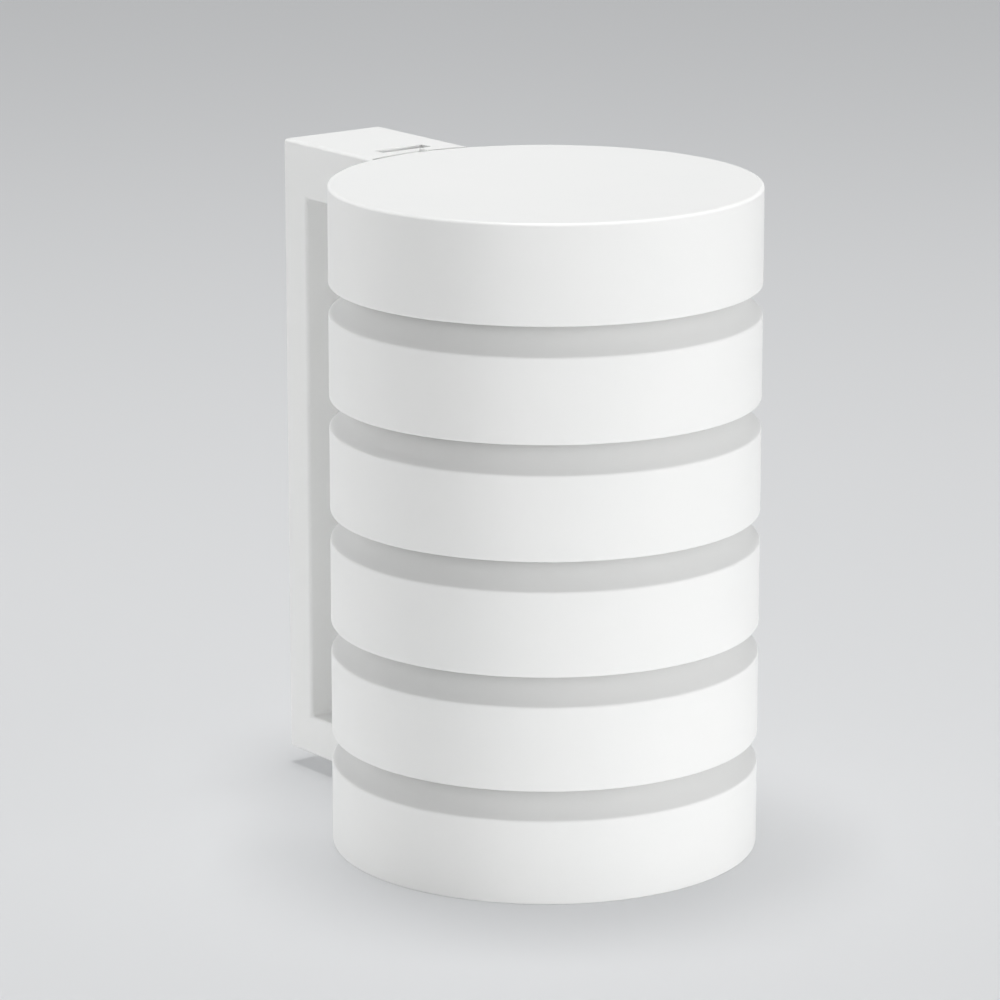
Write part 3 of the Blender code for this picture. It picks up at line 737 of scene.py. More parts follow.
@dataclass
class LouvreStack(Assembly):
    """The white rings: top cap, four louvres and the base ring."""

    body: ClassVar[Body] = Body.SHIELD
    louvre_count: int = 4
    edge: float = 0.0004
    shoulder_edge: float = 0.00035
    cap_edge: float = 0.0008
    inner_fillet: float = 0.001
    roof: float = 0.0025
    floor: float = 0.0025
    insert_length: float = 0.008
    tongue_height: float = 0.0092
    tongue_drop: float = 0.0006
    tongue_edge: float = 0.0003
    collar_bore: float = 0.0324
    collar_wall: float = 0.0022
    collar_top: float = 0.012067
    ledge_foot: float = 0.0048
    ledge_reach: float = 0.0034
    ledge_height: float = 0.0022
    ledge_span: float = math.radians(70)
    well_radius: float = 0.003
    well_top: float = 0.0031
    mark_circle: float = 0.0435
    mark_radius: float = 0.0011
    mark_ring_wall: float = 0.0004
    mark_depth: float = 0.0003
    closed_angle: float = math.radians(90)

    def outer_corners(self) -> list[Corner]:
        """Return a ring's outer outline, from the throat's top edge down to the band's foot."""
        p = self.plan
        return [(p.throat, p.shoulder_top, self.edge), (p.ring_radius, p.band_height, self.shoulder_edge),
                (p.ring_radius, 0, self.edge)]

    def inner_corners(self) -> list[Corner]:
        """Return a ring's inner outline, from inside the band up to the throat's lower edge."""
        p, slant = self.plan, self.plan.wall * math.sqrt(2)
        return [(p.inside, p.band_height + p.wall - slant, self.inner_fillet),
                (p.throat, p.shoulder_top - slant, self.edge)]

    def build_louvres(self) -> None:
        """Build the louvre rings, from the top down."""
        p = self.plan
        outline = [*self.outer_corners(), (p.inside, 0, self.edge), *self.inner_corners()]
        ring = merged(turned(outline), joined=p.posts(p.post_radius, p.post_foot, p.post_top),
                      cut=p.posts(p.rod_bore, 0, p.post_top + p.wall))
        for number in range(1, self.louvre_count + 1):
            self.place(ring.copy(), f"louvre_{number}_ring", WHITE_ASA, f"louvre_{number}",
                       height=p.cap_foot - number * p.pitch)
        ring.free()

    def build_cap(self) -> None:
        """Build the top cap with its tongue and its screw posts."""
        p = self.plan
        height = p.cap_top - p.cap_foot
        ceiling, tongue_top = height - self.roof, height - self.tongue_drop
        outline = [(0, height), (p.ring_radius, height, self.cap_edge), (p.ring_radius, 0, self.edge),
                   (p.inside, 0, self.edge), (p.inside, ceiling, self.inner_fillet), (0, ceiling)]
        tongue = p.hook(tongue_top - self.tongue_height, tongue_top, p.inside + p.wall / 2,
                        edge=self.tongue_edge)
        cap = merged(turned(outline),
                     joined=[*p.posts(p.post_radius, p.post_foot, ceiling + self.roof / 2), tongue],
                     cut=p.posts(p.insert_radius + p.fit, 0, p.post_foot + self.insert_length + p.fit))
        self.place(cap, "top_cap_shell", WHITE_ASA, "top_cap", height=p.cap_foot)

    def marks(self) -> list[BMesh]:
        """Make the cutters of the marks under the floor.

        Returns:
            A dot where the hatch locks and a ring where it opens.
        """
        outer, depth = self.mark_radius, self.mark_depth
        inner = outer - self.mark_ring_wall
        ring = turned([(inner, depth), (outer, depth), (outer, -depth), (inner, -depth)], SCREW_SEGMENTS)
        return [rod(outer, -depth, depth, on_circle(self.mark_circle, self.closed_angle)),
                moved(ring, on_circle(self.mark_circle, self.closed_angle - self.ledge_span))]

    def build_base(self) -> None:
        """Build the base ring with its floor, threaded collar and the wells of the screw heads."""
        p = self.plan
        edge, fillet, bore = self.edge, self.inner_fillet, self.collar_bore
        collar = bore + self.collar_wall
        outline = [*self.outer_corners(), (bore, 0, edge), (bore, self.collar_top, edge),
                   (collar, self.collar_top, edge), (collar, self.floor, fillet),
                   (p.inside, self.floor, fillet), *self.inner_corners()]
        ledges = p.thread_blocks(bore - self.ledge_reach, bore + self.collar_wall / 2, self.ledge_foot,
                                 self.ledge_height, 0, self.ledge_span)
        wells = [moved(screw_well(p.rod_bore, self.well_radius, self.well_top, -self.floor,
                                  p.post_top + p.wall), on_circle(p.post_circle, a)) for a in p.post_angles]
        ring = merged(turned(outline), joined=[*p.posts(p.post_radius, self.floor / 2, p.post_top), *ledges],
                      cut=[*wells, *self.marks()])
        self.place(ring, "base_ring_shell", WHITE_ASA, "base_ring")

    def build(self) -> None:
        """Build every ring of the stack."""
        self.build_cap()
        self.build_louvres()
        self.build_base()


@dataclass
class TieRods(Assembly):
    """The long screws that clamp the rings, and the brass inserts in the cap."""

    body: ClassVar[Body] = Body.SHIELD
    screw: SocketScrew = SocketScrew(shank=StackPlan.rod_radius, head=0.0027, head_height=0.0022,
                                     socket_width=0.0025, socket_depth=0.0013, pitch=0.0005,
                                     thread_length=0.01, edge=0.0004)
    insert_edge: float = 0.0002
    grip_groove: float = 0.0003
    grip_height: float = 0.001

    def insert(self, foot: float, top: float) -> BMesh:
        """Make one threaded insert, with a groove round its middle that the plastic grips.

        Args:
            foot: Height of its foot.
            top: Height of its top.

        Returns:
            The insert, on the Z axis.
        """
        bore, outer, edge = self.plan.rod_bore, self.plan.insert_radius, self.insert_edge
        waist = outer - self.grip_groove
        low = (foot + top - self.grip_height) / 2
        high = low + self.grip_height
        return turned([(bore, top), (outer, top, edge), (outer, high), (waist, high), (waist, low),
                       (outer, low), (outer, foot, edge), (bore, foot)], SCREW_SEGMENTS)

    def build(self) -> None:
        """Build a screw and an insert at every post."""
        p = self.plan
        kinds = (("tie_rod", "screw", self.screw.mesh, DRAWN_STEEL),
                 ("cap_insert", "sleeve", self.insert, TURNED_BRASS))
        for number, angle in enumerate(p.post_angles, start=1):
            for kind, piece, shape, finish in kinds:
                node = f"{kind}_{number}"
                low, high = p.box(node)
                self.place(moved(shape(low.z, high.z), on_circle(p.post_circle, angle)), f"{node}_{piece}",
                           finish, node)


@dataclass
class WallBracket(Assembly):
    """The C-shaped bracket that stands on the wall and carries the cap's tongue."""

    body: ClassVar[Body] = Body.BRACKET
    edge: float = 0.0008
    wall: float = 0.0024
    plate_thickness: float = 0.0089
    top_arm: float = 0.013
    bottom_arm: float = 0.0094
    arm_root: float = 0.03
    land_height: float = 0.014
    screw_radius: float = 0.0023
    screw_head_radius: float = 0.0044
    boss_radius: float = 0.0065
    slot_height: float = 0.0098
    pocket_corner: float = 0.001
    half_width: float = field(init=False)
    back: float = field(init=False)
    foot: float = field(init=False)
    top: float = field(init=False)

    def __post_init__(self) -> None:
        """Take the bracket's outer box from the frame, in the stack's own coordinates."""
        low, high = self.plan.box("wall_bracket")
        self.half_width, self.back, self.foot, self.top = high.x, high.y, low.z, high.z

    @property
    def plate_front(self) -> float:
        """Distance from the stack's axis to the front of the wall plate."""
        return self.back - self.plate_thickness

    @property
    def middle(self) -> float:
        """Height of the plate's middle, where the wall land is."""
        return (self.foot + self.top) / 2

    @property
    def window(self) -> tuple[float, float]:
        """Heights of the foot and the top of the open window between the arms."""
        return self.foot + self.bottom_arm, self.top - self.top_arm

    def frame_bar(self) -> BMesh:
        """Make the C-shaped bar with rounded edges.

        Returns:
            The bar, its arms still reaching into the rings.
        """
        root, front, (low, high) = self.arm_root, self.plate_front, self.window
        outline = [(self.back, self.foot), (self.back, self.top), (root, self.top), (root, high),
                   (front, high), (front, low), (root, low), (root, self.foot)]
        bm = bmesh.new()
        side = bm.faces.new([bm.verts.new((-self.half_width, y, z)) for y, z in outline])
        grown = bmesh.ops.extrude_face_region(bm, geom=[side])
        far = [v for v in grown["geom"] if isinstance(v, BMVert)]
        bmesh.ops.translate(bm, verts=far, vec=(2 * self.half_width, 0, 0))
        bmesh.ops.recalc_face_normals(bm, faces=bm.faces)
        return rounded(bm, bm.edges, self.edge)

    def pockets(self) -> list[BMesh]:
        """Make the cutters that hollow the bar from behind.

        Returns:
            The cutters, which leave the bar's walls and the wall land.
        """
        p, wall, (window_foot, window_top) = self.plan, self.wall, self.window
        side, land = self.half_width - wall, self.land_height / 2
        web, behind = self.plate_front + wall, self.back + self.plate_thickness
        low, high = self.foot + wall, self.top - wall
        boxes = [((web, low), (behind, self.middle - land)), ((web, self.middle + land), (behind, high)),
                 ((p.ring_radius + 2 * wall, low), (web + wall, window_foot - wall)),
                 ((p.hook_end + p.fit + wall, window_top + wall), (web + wall, high))]
        return [block((-side, *a), (side, *b), self.pocket_corner) for a, b in boxes]

    def build(self) -> None:
        """Build the bracket as one moulding, with a wall screw's boss in the middle of each pocket."""
        p, radius, front, top = self.plan, self.screw_radius, self.plate_front, self.top
        offset = ((top - self.foot) / 2 - self.wall + self.land_height / 2) / 2
        heights = (self.middle - offset, self.middle + offset)
        bosses = [laid(rod(self.boss_radius, front + self.wall / 2, self.back), 0, z) for z in heights]
        flare = self.screw_head_radius - radius
        hole = [(0, self.back + flare), (radius, self.back + flare), (radius, front + flare),
                (self.screw_head_radius + flare, front - flare), (0, front - flare)]
        holes = [laid(turned(hole, SCREW_SEGMENTS), 0, z) for z in heights]
        ring = rod(p.ring_radius + p.fit, -top, 2 * top, segments=RING_SEGMENTS)
        slot = p.hook(top - self.slot_height - p.fit, top + self.slot_height, 0, gap=p.fit)
        carved = merged(self.frame_bar(), cut=[ring, slot, *self.pockets()])
        self.place(merged(carved, joined=bosses, cut=holes), "wall_bracket_moulding", WHITE_ASA,
                   "wall_bracket")


@dataclass
class BaseHatch(Assembly):
    """The vented hatch that screws into the base ring, with its tripod insert."""

    body: ClassVar[Body] = Body.HATCH
    edge: float = 0.0004
    plate_foot: float = 0.0018
    plate_top: float = 0.0042
    tube_radius: float = 0.0284
    wall: float = 0.0024
    hub_radius: float = 0.008
    hub_proud: float = 0.0002
    rib_count: int = 6
    rib_width: float = 0.002
    vent_width: float = 0.003
    vent_margin: float = 0.003
    lug_span: float = math.radians(20)
    lug_start: float = math.radians(48)
    lug_height: float = 0.0022
    lug_root: float = 0.0004
    lug_sink: float = 0.0006
    insert_bore: float = 0.0027
    insert_edge: float = 0.0004
    tripod_pitch: float = 0.00127
    tripod_root: float = 0.00317
    pointer_angle: float = math.radians(90)
    pointer_circle: float = 0.0275
    pointer_size: float = 0.0022
    pointer_depth: float = 0.0004
    recess: float = field(init=False)
    top: float = field(init=False)
    radius: float = field(init=False)

    def __post_init__(self) -> None:
        """Take the hatch's outer box from the frame, in the stack's own coordinates."""
        low, high = self.plan.box("hatch")
        self.recess, self.top, self.radius = low.z, high.z, high.x

    def lugs(self) -> list[BMesh]:
        """Return the lugs of the coarse thread."""
        foot = self.top - self.lug_root - self.lug_height - self.plan.thread_lead * self.lug_span / math.tau
        return self.plan.thread_blocks(self.tube_radius - self.lug_sink, self.radius, foot, self.lug_height,
                                       self.lug_start, self.lug_span)

    def ribs(self) -> list[BMesh]:
        """Make the finger ribs under the plate.

        Returns:
            The ribs, all round the hub.
        """
        half = self.rib_width / 2
        low = (self.hub_radius - half, -half, self.recess + self.hub_proud)
        high = (self.radius - half, half, (self.plate_foot + self.plate_top) / 2)
        return [swung(block(low, high, self.edge), turn) for turn in all_round(self.rib_count)]

    def vents(self) -> list[BMesh]:
        """Make the cutters of the vent slots, with round ends.

        Returns:
            The cutters, one between every two ribs.
        """
        half, corner = self.vent_width / 2, ROUND_END * self.vent_width
        low = (self.hub_radius + self.vent_margin, -half, -self.top)
        high = (self.tube_radius - self.wall - self.vent_margin, half, self.top)
        return [swung(block(low, high, axis=Axis.Z, corner=corner), turn)
                for turn in all_round(self.rib_count, 0.5)]

    def pointer(self) -> BMesh:
        """Make the cutter of the triangle that points at the marks on the base ring.

        Returns:
            The cutter, at the foot of the plate.
        """
        wedge = rod(self.pointer_size, self.plate_foot - self.pointer_depth,
                    self.plate_foot + self.pointer_depth, segments=TRIANGLE_SIDES)
        tip = max((v.co for v in wedge.verts), key=lambda co: co.y).xy
        swung(wedge, self.pointer_angle - math.atan2(tip.y, tip.x))
        return moved(wedge, on_circle(self.pointer_circle, self.pointer_angle))

    def build(self) -> None:
        """Build the hatch and the brass insert in its hub."""
        edge, hub, tube, top = self.edge, self.hub_radius, self.tube_radius, self.top
        bore = tube - self.wall
        outline = [(0, top), (hub, top, edge), (hub, self.plate_top, edge), (bore, self.plate_top, edge),
                   (bore, top, edge), (tube, top, edge), (tube, self.plate_top, edge),
                   (self.radius, self.plate_top, edge), (self.radius, self.plate_foot, edge),
                   (hub, self.plate_foot, edge), (hub, self.recess, edge), (0, self.recess)]
        low, high = self.plan.box("tripod_insert")
        socket = rod(high.x + self.plan.fit, -top, high.z + self.plan.fit)
        hatch = merged(turned(outline), joined=[*self.lugs(), *self.ribs()],
                       cut=[*self.vents(), socket, self.pointer()])
        self.place(hatch, "base_hatch", WHITE_ASA, "hatch")
        bore, edge, pitch = self.insert_bore, self.insert_edge, self.tripod_pitch
        sleeve = turned([(bore, high.z, edge), (high.x, high.z), (high.x, low.z, edge / 2),
                         (bore, low.z, edge)], 2 * SCREW_SEGMENTS)
        thread = thread_cutter(bore, self.tripod_root, low.z - pitch, high.z + pitch, pitch)
        self.place(merged(sleeve, cut=[thread]), "tripod_insert_sleeve", TURNED_BRASS, "tripod_insert")


@dataclass
class ModuleCradle(Assembly):
    """The cup that carries the sensor module on the hatch and runs on the screw posts."""

    body: ClassVar[Body] = Body.CARRIAGE
    edge: float = 0.0004
    inner_fillet: float = 0.0008
    floor: float = 0.0024
    wall: float = 0.002
    radius: float = 0.0249
    ear_rise: float = 0.0046
    ear_height: float = 0.003
    ear_tine: float = 0.0022
    vent_radius: float = 0.0032
    vent_circle: float = 0.014
    vent_count: int = 6

    def build(self) -> None:
        """Build the cup with its forked ears and its vents."""
        p, radius, edge = self.plan, self.radius, self.edge
        low, high = p.box("module_cradle")
        bore, floor_top = radius - self.wall, low.z + self.floor
        outline = [(0, floor_top), (bore, floor_top, self.inner_fillet), (bore, high.z, edge),
                   (radius, high.z, edge), (radius, low.z, edge), (0, low.z)]
        fork, ear_foot = p.post_radius + p.fit, low.z + self.ear_rise
        ear_low = (radius - self.wall / 2, -fork - self.ear_tine, ear_foot)
        ear_high = (p.post_circle, fork + self.ear_tine, ear_foot + self.ear_height)
        ears = [swung(block(ear_low, ear_high, edge), a) for a in p.post_angles]
        vents = [rod(self.vent_radius, 0, floor_top + self.floor, on_circle(self.vent_circle, turn))
                 for turn in all_round(self.vent_count)]
        cradle = merged(turned(outline, TUBE_SEGMENTS), joined=ears, cut=[*p.posts(fork, 0, high.z), *vents])
        self.place(cradle, "module_cradle_cup", GREY_ABS, "module_cradle")


@dataclass
class ModuleCase(Assembly):
    """The sensor module's aluminium tube with its ends, seal, light guide and screws."""

    body: ClassVar[Body] = Body.MODULE
    edge: float = 0.0004
    wall: float = 0.0015
    slit_width: float = 0.0026
    slit_margin: float = 0.02
    guide_edge: float = 0.0002
    dish_radius: float = 0.0165
    dish_depth: float = 0.0005
    groove_radius: float = 0.018
    seal_edge: float = 0.0006
    seal_width: float = 0.002
    screw: SocketScrew = SocketScrew(shank=0.001, head=0.0019, head_height=0.0014, socket_width=0.0015,
                                     socket_depth=0.0007, pitch=0.0004, thread_length=0.004, edge=0.0002)
    screw_nodes: tuple[str, ...] = ("module_screw_1", "module_screw_2")

    def ring(self, node: str, wall: float, edge: float) -> BMesh:
        """Make a plain ring or tube that fills a node's box.

        Args:
            node: The node.
            wall: Thickness of its wall.
            edge: Radius of its edges.

        Returns:
            The ring.
        """
        low, high = self.plan.box(node)
        bore, outer = high.x - wall, high.x
        return turned([(bore, high.z, edge), (outer, high.z, edge), (outer, low.z, edge),
                       (bore, low.z, edge)], TUBE_SEGMENTS)

    def build_tube(self) -> None:
        """Build the tube with the slit for its light guide, and the guide in it."""
        low, high = self.plan.box("module_shell")
        half = self.slit_width / 2
        slit = block((-half, -2 * high.x, low.z + self.slit_margin), (half, 0, high.z - self.slit_margin),
                     axis=Axis.Y, corner=ROUND_END * self.slit_width)
        tube = merged(self.ring("module_shell", self.wall, self.edge), cut=[slit])
        self.place(tube, "module_shell_tube", ANODISED_ALUMINIUM, "module_shell")
        low, high = self.plan.box("light_guide")
        guide = block(low, high, self.guide_edge, Axis.Y, ROUND_END * (high.x - low.x))
        self.place(guide, "light_guide_strip", FROSTED_ACRYLIC, "light_guide")

    def build_ends(self) -> None:
        """Build the dished top plate, and the bottom cap with its seal and its screws."""
        p, dish, edge, groove = self.plan, self.dish_depth, self.edge, self.groove_radius
        low, high = p.box("module_top_plate")
        lid = turned([(0, high.z - dish), (self.dish_radius, high.z - dish),
                      (self.dish_radius + dish, high.z), (high.x, high.z, edge), (high.x, low.z, edge),
                      (0, low.z)], TUBE_SEGMENTS)
        self.place(lid, "module_top_lid", GREY_ABS, "module_top_plate")
        low, high = p.box("module_bottom_cap")
        cap = turned([(0, high.z), (high.x, high.z, edge), (high.x, low.z, edge), (groove, low.z),
                      (groove - dish, low.z + dish), (groove - 2 * dish, low.z), (0, low.z)], TUBE_SEGMENTS)
        screw, seat = self.screw, low.z + self.screw.head_height + p.fit
        wells = [moved(screw_well(screw.shank + p.fit, screw.head + p.fit, seat, low.z - self.wall,
                                  high.z + self.wall), p.centre(node)) for node in self.screw_nodes]
        self.place(merged(cap, cut=wells), "module_bottom_plug", GREY_ABS, "module_bottom_cap")
        seal = self.ring("module_seal", self.seal_width, self.seal_edge)
        self.place(seal, "module_seal_ring", SILICONE_RUBBER, "module_seal")
        for node in self.screw_nodes:
            low, high = p.box(node)
            self.place(moved(screw.mesh(low.z, high.z), p.centre(node)), f"{node}_socket_head", DRAWN_STEEL,
                       node)

    def build(self) -> None:
        """Build the whole case."""
        self.build_tube()
        self.build_ends()


@dataclass(frozen=True)
class Chip:
    """A flat part on the board: where its middle is from the board's middle, and its size."""

    across: float
    up: float
    width: float
    height: float
    rise: float


@dataclass
class ModuleInside(Assembly):
    """What the sensor module holds: chassis, cells with their contacts, and the board with its parts."""

    body: ClassVar[Body] = Body.MODULE
    edge: float = 0.0003
    wall: float = 0.002
    chassis_width: float = 0.028
    shelf_thickness: float = 0.0024
    shelf_margin: float = 0.002
    screw_bore: float = 0.0013
    cell_edge: float = 0.0007
    tip_radius: float = 0.0019
    tip_height: float = 0.001
    tip_edge: float = 0.0003
    terminal_radius: float = 0.0038
    terminal_sink: float = 0.0002
    contact_corner: float = 0.0012
    contact_edge: float = 0.00012
    board_corner: float = 0.0015
    board_hole: float = 0.0011
    board_hole_inset: float = 0.003
    sensor_corner: float = 0.0003
    sensor_edge: float = 0.0001
    sensor_port: float = 0.0006
    can_corner: float = 0.0008
    can_edge: float = 0.0003
    can_hole: float = 0.00045
    can_hole_step: float = 0.003
    port_depth: float = 0.0004
    chip_edge: float = 0.0001
    chips: tuple[Chip, ...] = (
        Chip(-0.001, 0.004, 0.007, 0.007, 0.0009), Chip(0.0065, -0.008, 0.005, 0.004, 0.0013),
        Chip(-0.0075, -0.012, 0.003, 0.003, 0.001), Chip(0.008, 0.010, 0.0029, 0.0016, 0.0011),
        Chip(-0.008, 0.014, 0.0016, 0.0008, 0.0008), Chip(-0.005, 0.014, 0.0016, 0.0008, 0.0008),
        Chip(0.004, -0.016, 0.0016, 0.0008, 0.0008), Chip(0.008, -0.016, 0.0016, 0.0008, 0.0008))
    crystal: Chip = Chip(0.0075, 0.0035, 0.0032, 0.0015, 0.0008)

    def build_chassis(self) -> None:
        """Build the chassis: an upright wall on a round foot, with a shelf over the cells."""
        p, half, edge = self.plan, self.chassis_width / 2, self.edge
        low, high = p.box("module_chassis")
        foot_top = low.z + self.shelf_thickness
        foot = turned([(0, foot_top), (high.x, foot_top, edge), (high.x, low.z, edge), (0, low.z)],
                      TUBE_SEGMENTS)
        upright = block((-half, -self.wall / 2, low.z + self.shelf_thickness / 2),
                        (half, self.wall / 2, high.z), edge)
        shelf_foot = p.box("battery_contact_top")[1].z + p.fit
        shelf_end = p.box("battery_1")[1].y - p.fit + self.shelf_margin
        shelf = block((-half, 0, shelf_foot), (half, shelf_end, shelf_foot + self.shelf_thickness), edge)
        holes = [rod(self.screw_bore, low.z - self.wall, foot_top + p.fit, p.centre(node))
                 for node in ModuleCase.screw_nodes]
        self.place(merged(foot, joined=[upright, shelf], cut=holes), "module_chassis_frame", GREY_ABS,
                   "module_chassis")

    def build_cell(self, node: str) -> None:
        """Build one cell: a sleeve that folds over the ends, and the bare terminals in it.

        Args:
            node: The cell's node.
        """
        low, high = self.plan.box(node)
        radius, tip, terminal = (high.x - low.x) / 2, self.tip_radius, self.terminal_radius
        sink, sleeve_top = self.terminal_sink, high.z - self.tip_height
        top_face, foot_face = sleeve_top - sink, low.z + sink
        outlines = [[(0, top_face), (terminal, top_face), (terminal, sleeve_top),
                     (radius, sleeve_top, self.cell_edge), (radius, low.z, self.cell_edge),
                     (terminal, low.z), (terminal, foot_face), (0, foot_face)],
                    [(0, high.z), (tip, high.z, self.tip_edge), (tip, sleeve_top, self.tip_edge / 2),
                     (terminal, sleeve_top - sink / 2), (terminal, top_face), (0, top_face)],
                    [(0, foot_face), (terminal, foot_face), (terminal, low.z + sink / 2), (0, low.z)]]
        sleeve, button, base = [moved(turned(outline, SCREW_SEGMENTS), self.plan.centre(node))
                                for outline in outlines]
        self.place(sleeve, f"{node}_sleeve", BATTERY_WRAP, node)
        self.place(merged(button, joined=[base]), f"{node}_terminals", DRAWN_STEEL)

    def build_contacts(self) -> None:
        """Build the spring strips over and under the cells."""
        for node in ("battery_contact_top", "battery_contact_bottom"):
            strip = block(*self.plan.box(node), self.contact_edge, Axis.Z, self.contact_corner)
            self.place(strip, f"{node}_strip", DRAWN_STEEL, node)

    def chip(self, chip: Chip) -> BMesh:
        """Make one part that stands on the board's front.

        Args:
            chip: Its place and size.

        Returns:
            The part.
        """
        low, high = self.plan.box("module_board")
        half_width, half_height, up = chip.width / 2, chip.height / 2, (low.z + high.z) / 2 + chip.up
        return block((chip.across - half_width, low.y - chip.rise, up - half_height),
                     (chip.across + half_width, low.y, up + half_height), self.chip_edge)

    def ports(self, node: str, radius: float, steps: Sequence[int], sides: int) -> list[BMesh]:
        """Make the cutters of the small holes in a part's front, in a square pattern.

        Args:
            node: The part's node.
            radius: Radius of a hole.
            steps: Places of the holes each way, counted in steps from the part's middle.
            sides: Sides of a hole.

        Returns:
            The cutters.
        """
        low, high = self.plan.box(node)
        middle, step = (low + high) / 2, self.can_hole_step
        return [laid(rod(radius, low.y - self.wall, low.y + self.port_depth, segments=sides),
                     middle.x + step * i, middle.z + step * j) for i in steps for j in steps]

    def build_board(self) -> None:
        """Build the board with its corner holes, its chips, the humidity sensor and the radio's can."""
        p, inset = self.plan, self.board_hole_inset
        low, high = p.box("module_board")
        holes = [laid(rod(self.board_hole, low.y - self.wall, high.y + self.wall), x, z)
                 for x in (low.x + inset, high.x - inset) for z in (low.z + inset, high.z - inset)]
        board = merged(block(low, high, axis=Axis.Y, corner=self.board_corner), cut=holes)
        self.place(board, "module_board_laminate", BOARD_LAMINATE, "module_board")
        first, *others = [self.chip(chip) for chip in self.chips]
        self.place(merged(first, joined=others), "board_chips", BLACK_EPOXY)
        self.place(self.chip(self.crystal), "board_crystal_can", DRAWN_STEEL)
        sensor = merged(block(*p.box("humidity_sensor"), self.sensor_edge, Axis.Y, self.sensor_corner),
                        cut=self.ports("humidity_sensor", self.sensor_port, (0,), SCREW_SEGMENTS))
        self.place(sensor, "humidity_sensor_chip", BLACK_EPOXY, "humidity_sensor")
        can = merged(block(*p.box("radio_can"), self.can_edge, Axis.Y, self.can_corner),
                     cut=self.ports("radio_can", self.can_hole, (-1, 0, 1), 2 * HEX_SIDES))
        self.place(can, "radio_can_cover", DRAWN_STEEL, "radio_can")

    def build(self) -> None:
        """Build everything in the module."""
        self.build_chassis()
        for node in ("battery_1", "battery_2"):
            self.build_cell(node)
        self.build_contacts()
        self.build_board()


def seen_rays(tree: bpy.types.NodeTree) -> bpy.types.NodeSocket:
    """Add the nodes that tell the rays that show the backdrop itself.

    Args:
        tree: The node tree of the floor or the world.

    Returns:
        A socket: 1 on camera, glossy and transmission rays, and 0 on the rays that carry light.
    """
    rays = tree.nodes.new("ShaderNodeLightPath").outputs
    seen = add_node(tree, "ShaderNodeMath", {"operation": "MAXIMUM"},
                    {0: rays["Is Camera Ray"], 1: rays["Is Glossy Ray"]})
    return add_node(tree, "ShaderNodeMath", {"operation": "MAXIMUM"},
                    {0: seen.outputs["Value"], 1: rays["Is Transmission Ray"]}).outputs["Value"]


@dataclass(frozen=True)
class StudioFloor:
    """The matt floor: its colour, how far it drifts, and how much of its pale look is its own."""

    colour: str = "#EEEEEF"
    shade: str = "#EAEBEC"
    drift_mm: float = 400.0
    roughness: float = 0.9
    specular: float = 0.2
    pale: str = "#CFD1D3"
    pale_share: float = 0.45

    def material(self) -> bpy.types.Material:
        """Make the floor's material: painted board that takes the object's shadow softly.

        Returns:
            The material.
        """
        made = bpy.data.materials.new("matt_studio_floor")
        made.use_nodes = True
        tree = made.node_tree
        surface = tree.nodes["Principled BSDF"]
        place = tree.nodes.new("ShaderNodeTexCoord").outputs["Object"]
        drift = add_node(tree, "ShaderNodeTexNoise", {"Scale": per_metre(self.drift_mm)}, {"Vector": place})
        ends = {"data_type": "RGBA", MIX_FIRST: linear(self.colour), MIX_SECOND: linear(self.shade)}
        tint = add_node(tree, "ShaderNodeMix", ends, {MIX_FACTOR: drift.outputs["Fac"]})
        tree.links.new(tint.outputs[MIX_RESULT], surface.inputs["Base Color"])
        surface.inputs["Roughness"].default_value = self.roughness
        surface.inputs["Specular IOR Level"].default_value = self.specular
        glow = add_node(tree, "ShaderNodeEmission", {"Color": linear(self.pale), "Strength": 1.0})
        share = add_node(tree, "ShaderNodeMath", {"operation": "MULTIPLY", 1: self.pale_share},
                         {0: seen_rays(tree)})
        mixed = add_node(tree, "ShaderNodeMixShader", {},
                         {0: share.outputs["Value"], 1: surface.outputs["BSDF"], 2: glow.outputs["Emission"]})
        tree.links.new(mixed.outputs["Shader"], tree.nodes["Material Output"].inputs["Surface"])
        return made


@dataclass(frozen=True)
class Softbox:
    """One soft light that faces the object's middle, placed from the camera's azimuth.

    A light that isn't mirrored keeps its glint off the slanted shoulders, where a view against it shows it.
    """

    name: str
    turn: float
    elevation: float
    reach: float
    size: tuple[float, float]
    power: float
    mirrored: bool = True


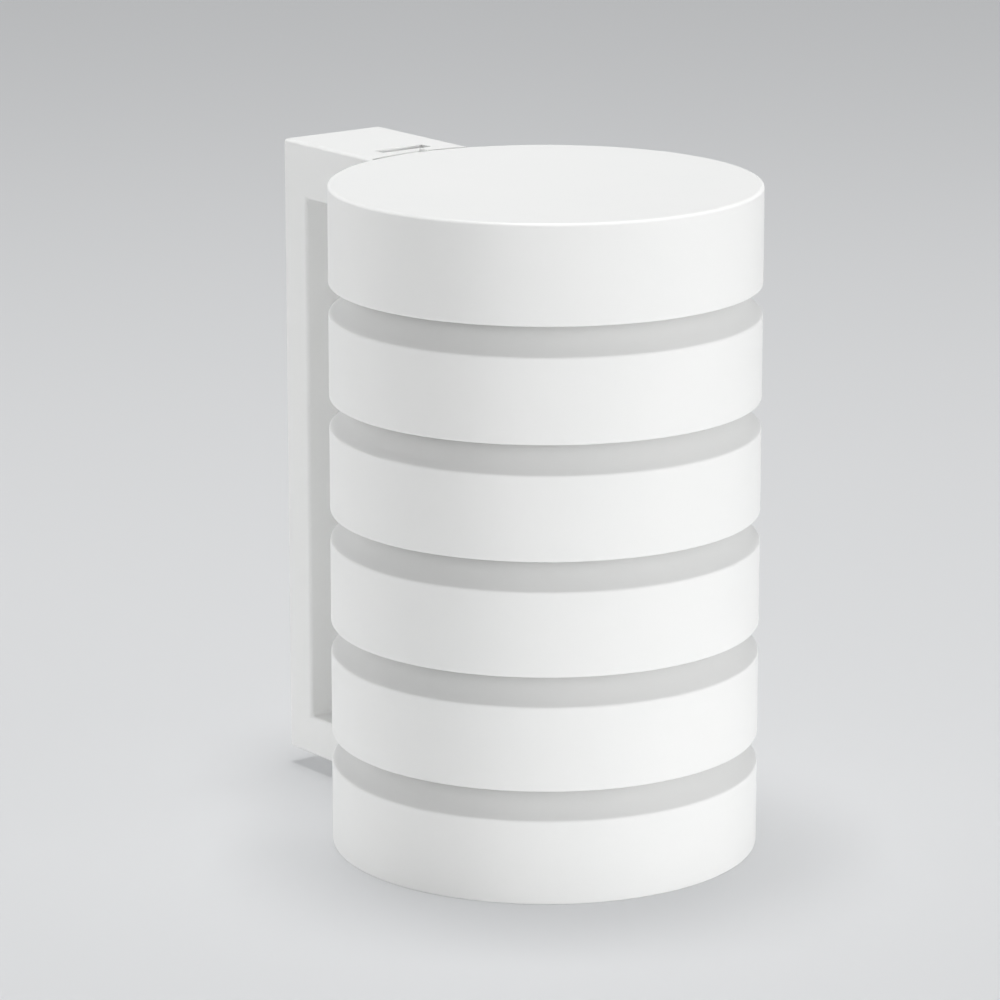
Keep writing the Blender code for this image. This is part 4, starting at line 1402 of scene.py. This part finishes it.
@dataclass
class Studio:
    """Floor, lights and camera."""

    plan: StackPlan
    azimuth: float = -38.0
    distance: float = 1.022
    eye_height: float = 0.339
    lens: float = 170.0
    floor_size: float = 4.0
    floor: StudioFloor = StudioFloor()
    room: str = "#D6D7D8"
    light: str = "#FFFFFF"
    wall_light: float = 1.17
    ceiling_light: float = 0.06
    wall_top: float = 0.2
    ceiling_edge: float = 0.5
    softboxes: tuple[Softbox, ...] = (
        Softbox("key_softbox", 58, 2.5, 5.0, (2.66, 0.55), 117.0, mirrored=False),
        Softbox("front_fill_softbox", -15, 2.5, 5.0, (3.4, 0.55), 26.9),
        Softbox("left_rim_softbox", -118, 2.5, 5.0, (1.9, 0.55), 70.0, mirrored=False),
        Softbox("top_softbox", 180, 87, 1.2, (0.36, 0.36), 10.8))

    @property
    def middle(self) -> Vector:
        """The object's middle, which the lights and the camera face."""
        low, high = CAD_BOX
        return (low + high) / 2

    def towards(self, azimuth: float, elevation: float) -> Vector:
        """Return the unit vector to an azimuth and elevation, where azimuth 0 stands at -Y."""
        a, e = math.radians(azimuth), math.radians(elevation)
        return Vector((math.sin(a) * math.cos(e), -math.cos(a) * math.cos(e), math.sin(e)))

    def stood(self, device: bpy.types.Light | bpy.types.Camera, place: Vector) -> bpy.types.Object:
        """Stand a light or the camera at a place, facing the object's middle.

        Args:
            device: The light or camera.
            place: Where it stands.

        Returns:
            Its object.
        """
        made = bpy.data.objects.new(device.name, device)
        made.location = place
        made.rotation_mode = "QUATERNION"
        made.rotation_quaternion = (self.middle - place).to_track_quat("-Z", "Y")
        bpy.context.scene.collection.objects.link(made)
        return made

    def build_floor(self) -> None:
        """Lay the pale floor under the base ring."""
        bm = bmesh.new()
        bmesh.ops.create_grid(bm, x_segments=1, y_segments=1, size=self.floor_size)
        floor = as_object(moved(bm, self.plan.foot), "studio_floor")
        floor.data.materials.append(self.floor.material())

    def hang(self, softbox: Softbox) -> None:
        """Hang one soft light.

        Args:
            softbox: The light's place, size and power.
        """
        lamp = bpy.data.lights.new(softbox.name, "AREA")
        lamp.shape = "RECTANGLE"
        lamp.size, lamp.size_y = softbox.size
        lamp.energy = softbox.power
        away = self.towards(self.azimuth + softbox.turn, softbox.elevation)
        made = self.stood(lamp, self.middle + away * softbox.reach)
        made.visible_camera = False
        made.visible_glossy = softbox.mirrored

    def build_world(self) -> None:
        """Fill the room with light from its pale walls, less from its ceiling, and show the room as it is."""
        world = bpy.data.worlds.new("pale_room")
        bpy.context.scene.world = world
        world.use_nodes = True
        tree = world.node_tree
        tree.nodes.clear()
        sky = tree.nodes.new("ShaderNodeTexCoord").outputs["Generated"]
        rise = add_node(tree, "ShaderNodeSeparateXYZ", {}, {"Vector": sky})
        ends = {"From Min": self.wall_top, "From Max": self.ceiling_edge,
                "To Min": self.wall_light, "To Max": self.ceiling_light}
        level = add_node(tree, "ShaderNodeMapRange", ends, {"Value": rise.outputs["Z"]})
        light = add_node(tree, "ShaderNodeBackground", {"Color": linear(self.light)},
                         {"Strength": level.outputs["Result"]})
        room = add_node(tree, "ShaderNodeBackground", {"Color": linear(self.room), "Strength": 1.0})
        mixed = add_node(tree, "ShaderNodeMixShader", {},
                         {0: seen_rays(tree), 1: light.outputs["Background"], 2: room.outputs["Background"]})
        add_node(tree, "ShaderNodeOutputWorld", {}, {"Surface": mixed.outputs["Shader"]})

    def build_camera(self) -> None:
        """Stand the camera where the photograph was taken from, aimed at the object's middle."""
        camera = bpy.data.cameras.new("studio_camera")
        camera.lens = self.lens
        away = self.towards(self.azimuth, 0) * self.distance
        place = self.plan.foot + away + Vector((0, 0, self.eye_height))
        bpy.context.scene.camera = self.stood(camera, place)

    def build(self) -> None:
        """Set up the whole studio."""
        bpy.context.scene.view_settings.view_transform = "Standard"
        self.build_floor()
        self.build_world()
        for softbox in self.softboxes:
            self.hang(softbox)
        self.build_camera()


def main() -> None:
    """Build every sub-assembly in order and then the studio."""
    logging.basicConfig(level=logging.INFO, format="%(name)s: %(message)s")
    plan = StackPlan.from_frame()
    for assembly in (LouvreStack, TieRods, WallBracket, BaseHatch, ModuleCradle, ModuleCase, ModuleInside,
                     Studio):
        assembly(plan).build()


if __name__ == "__main__":
    main()
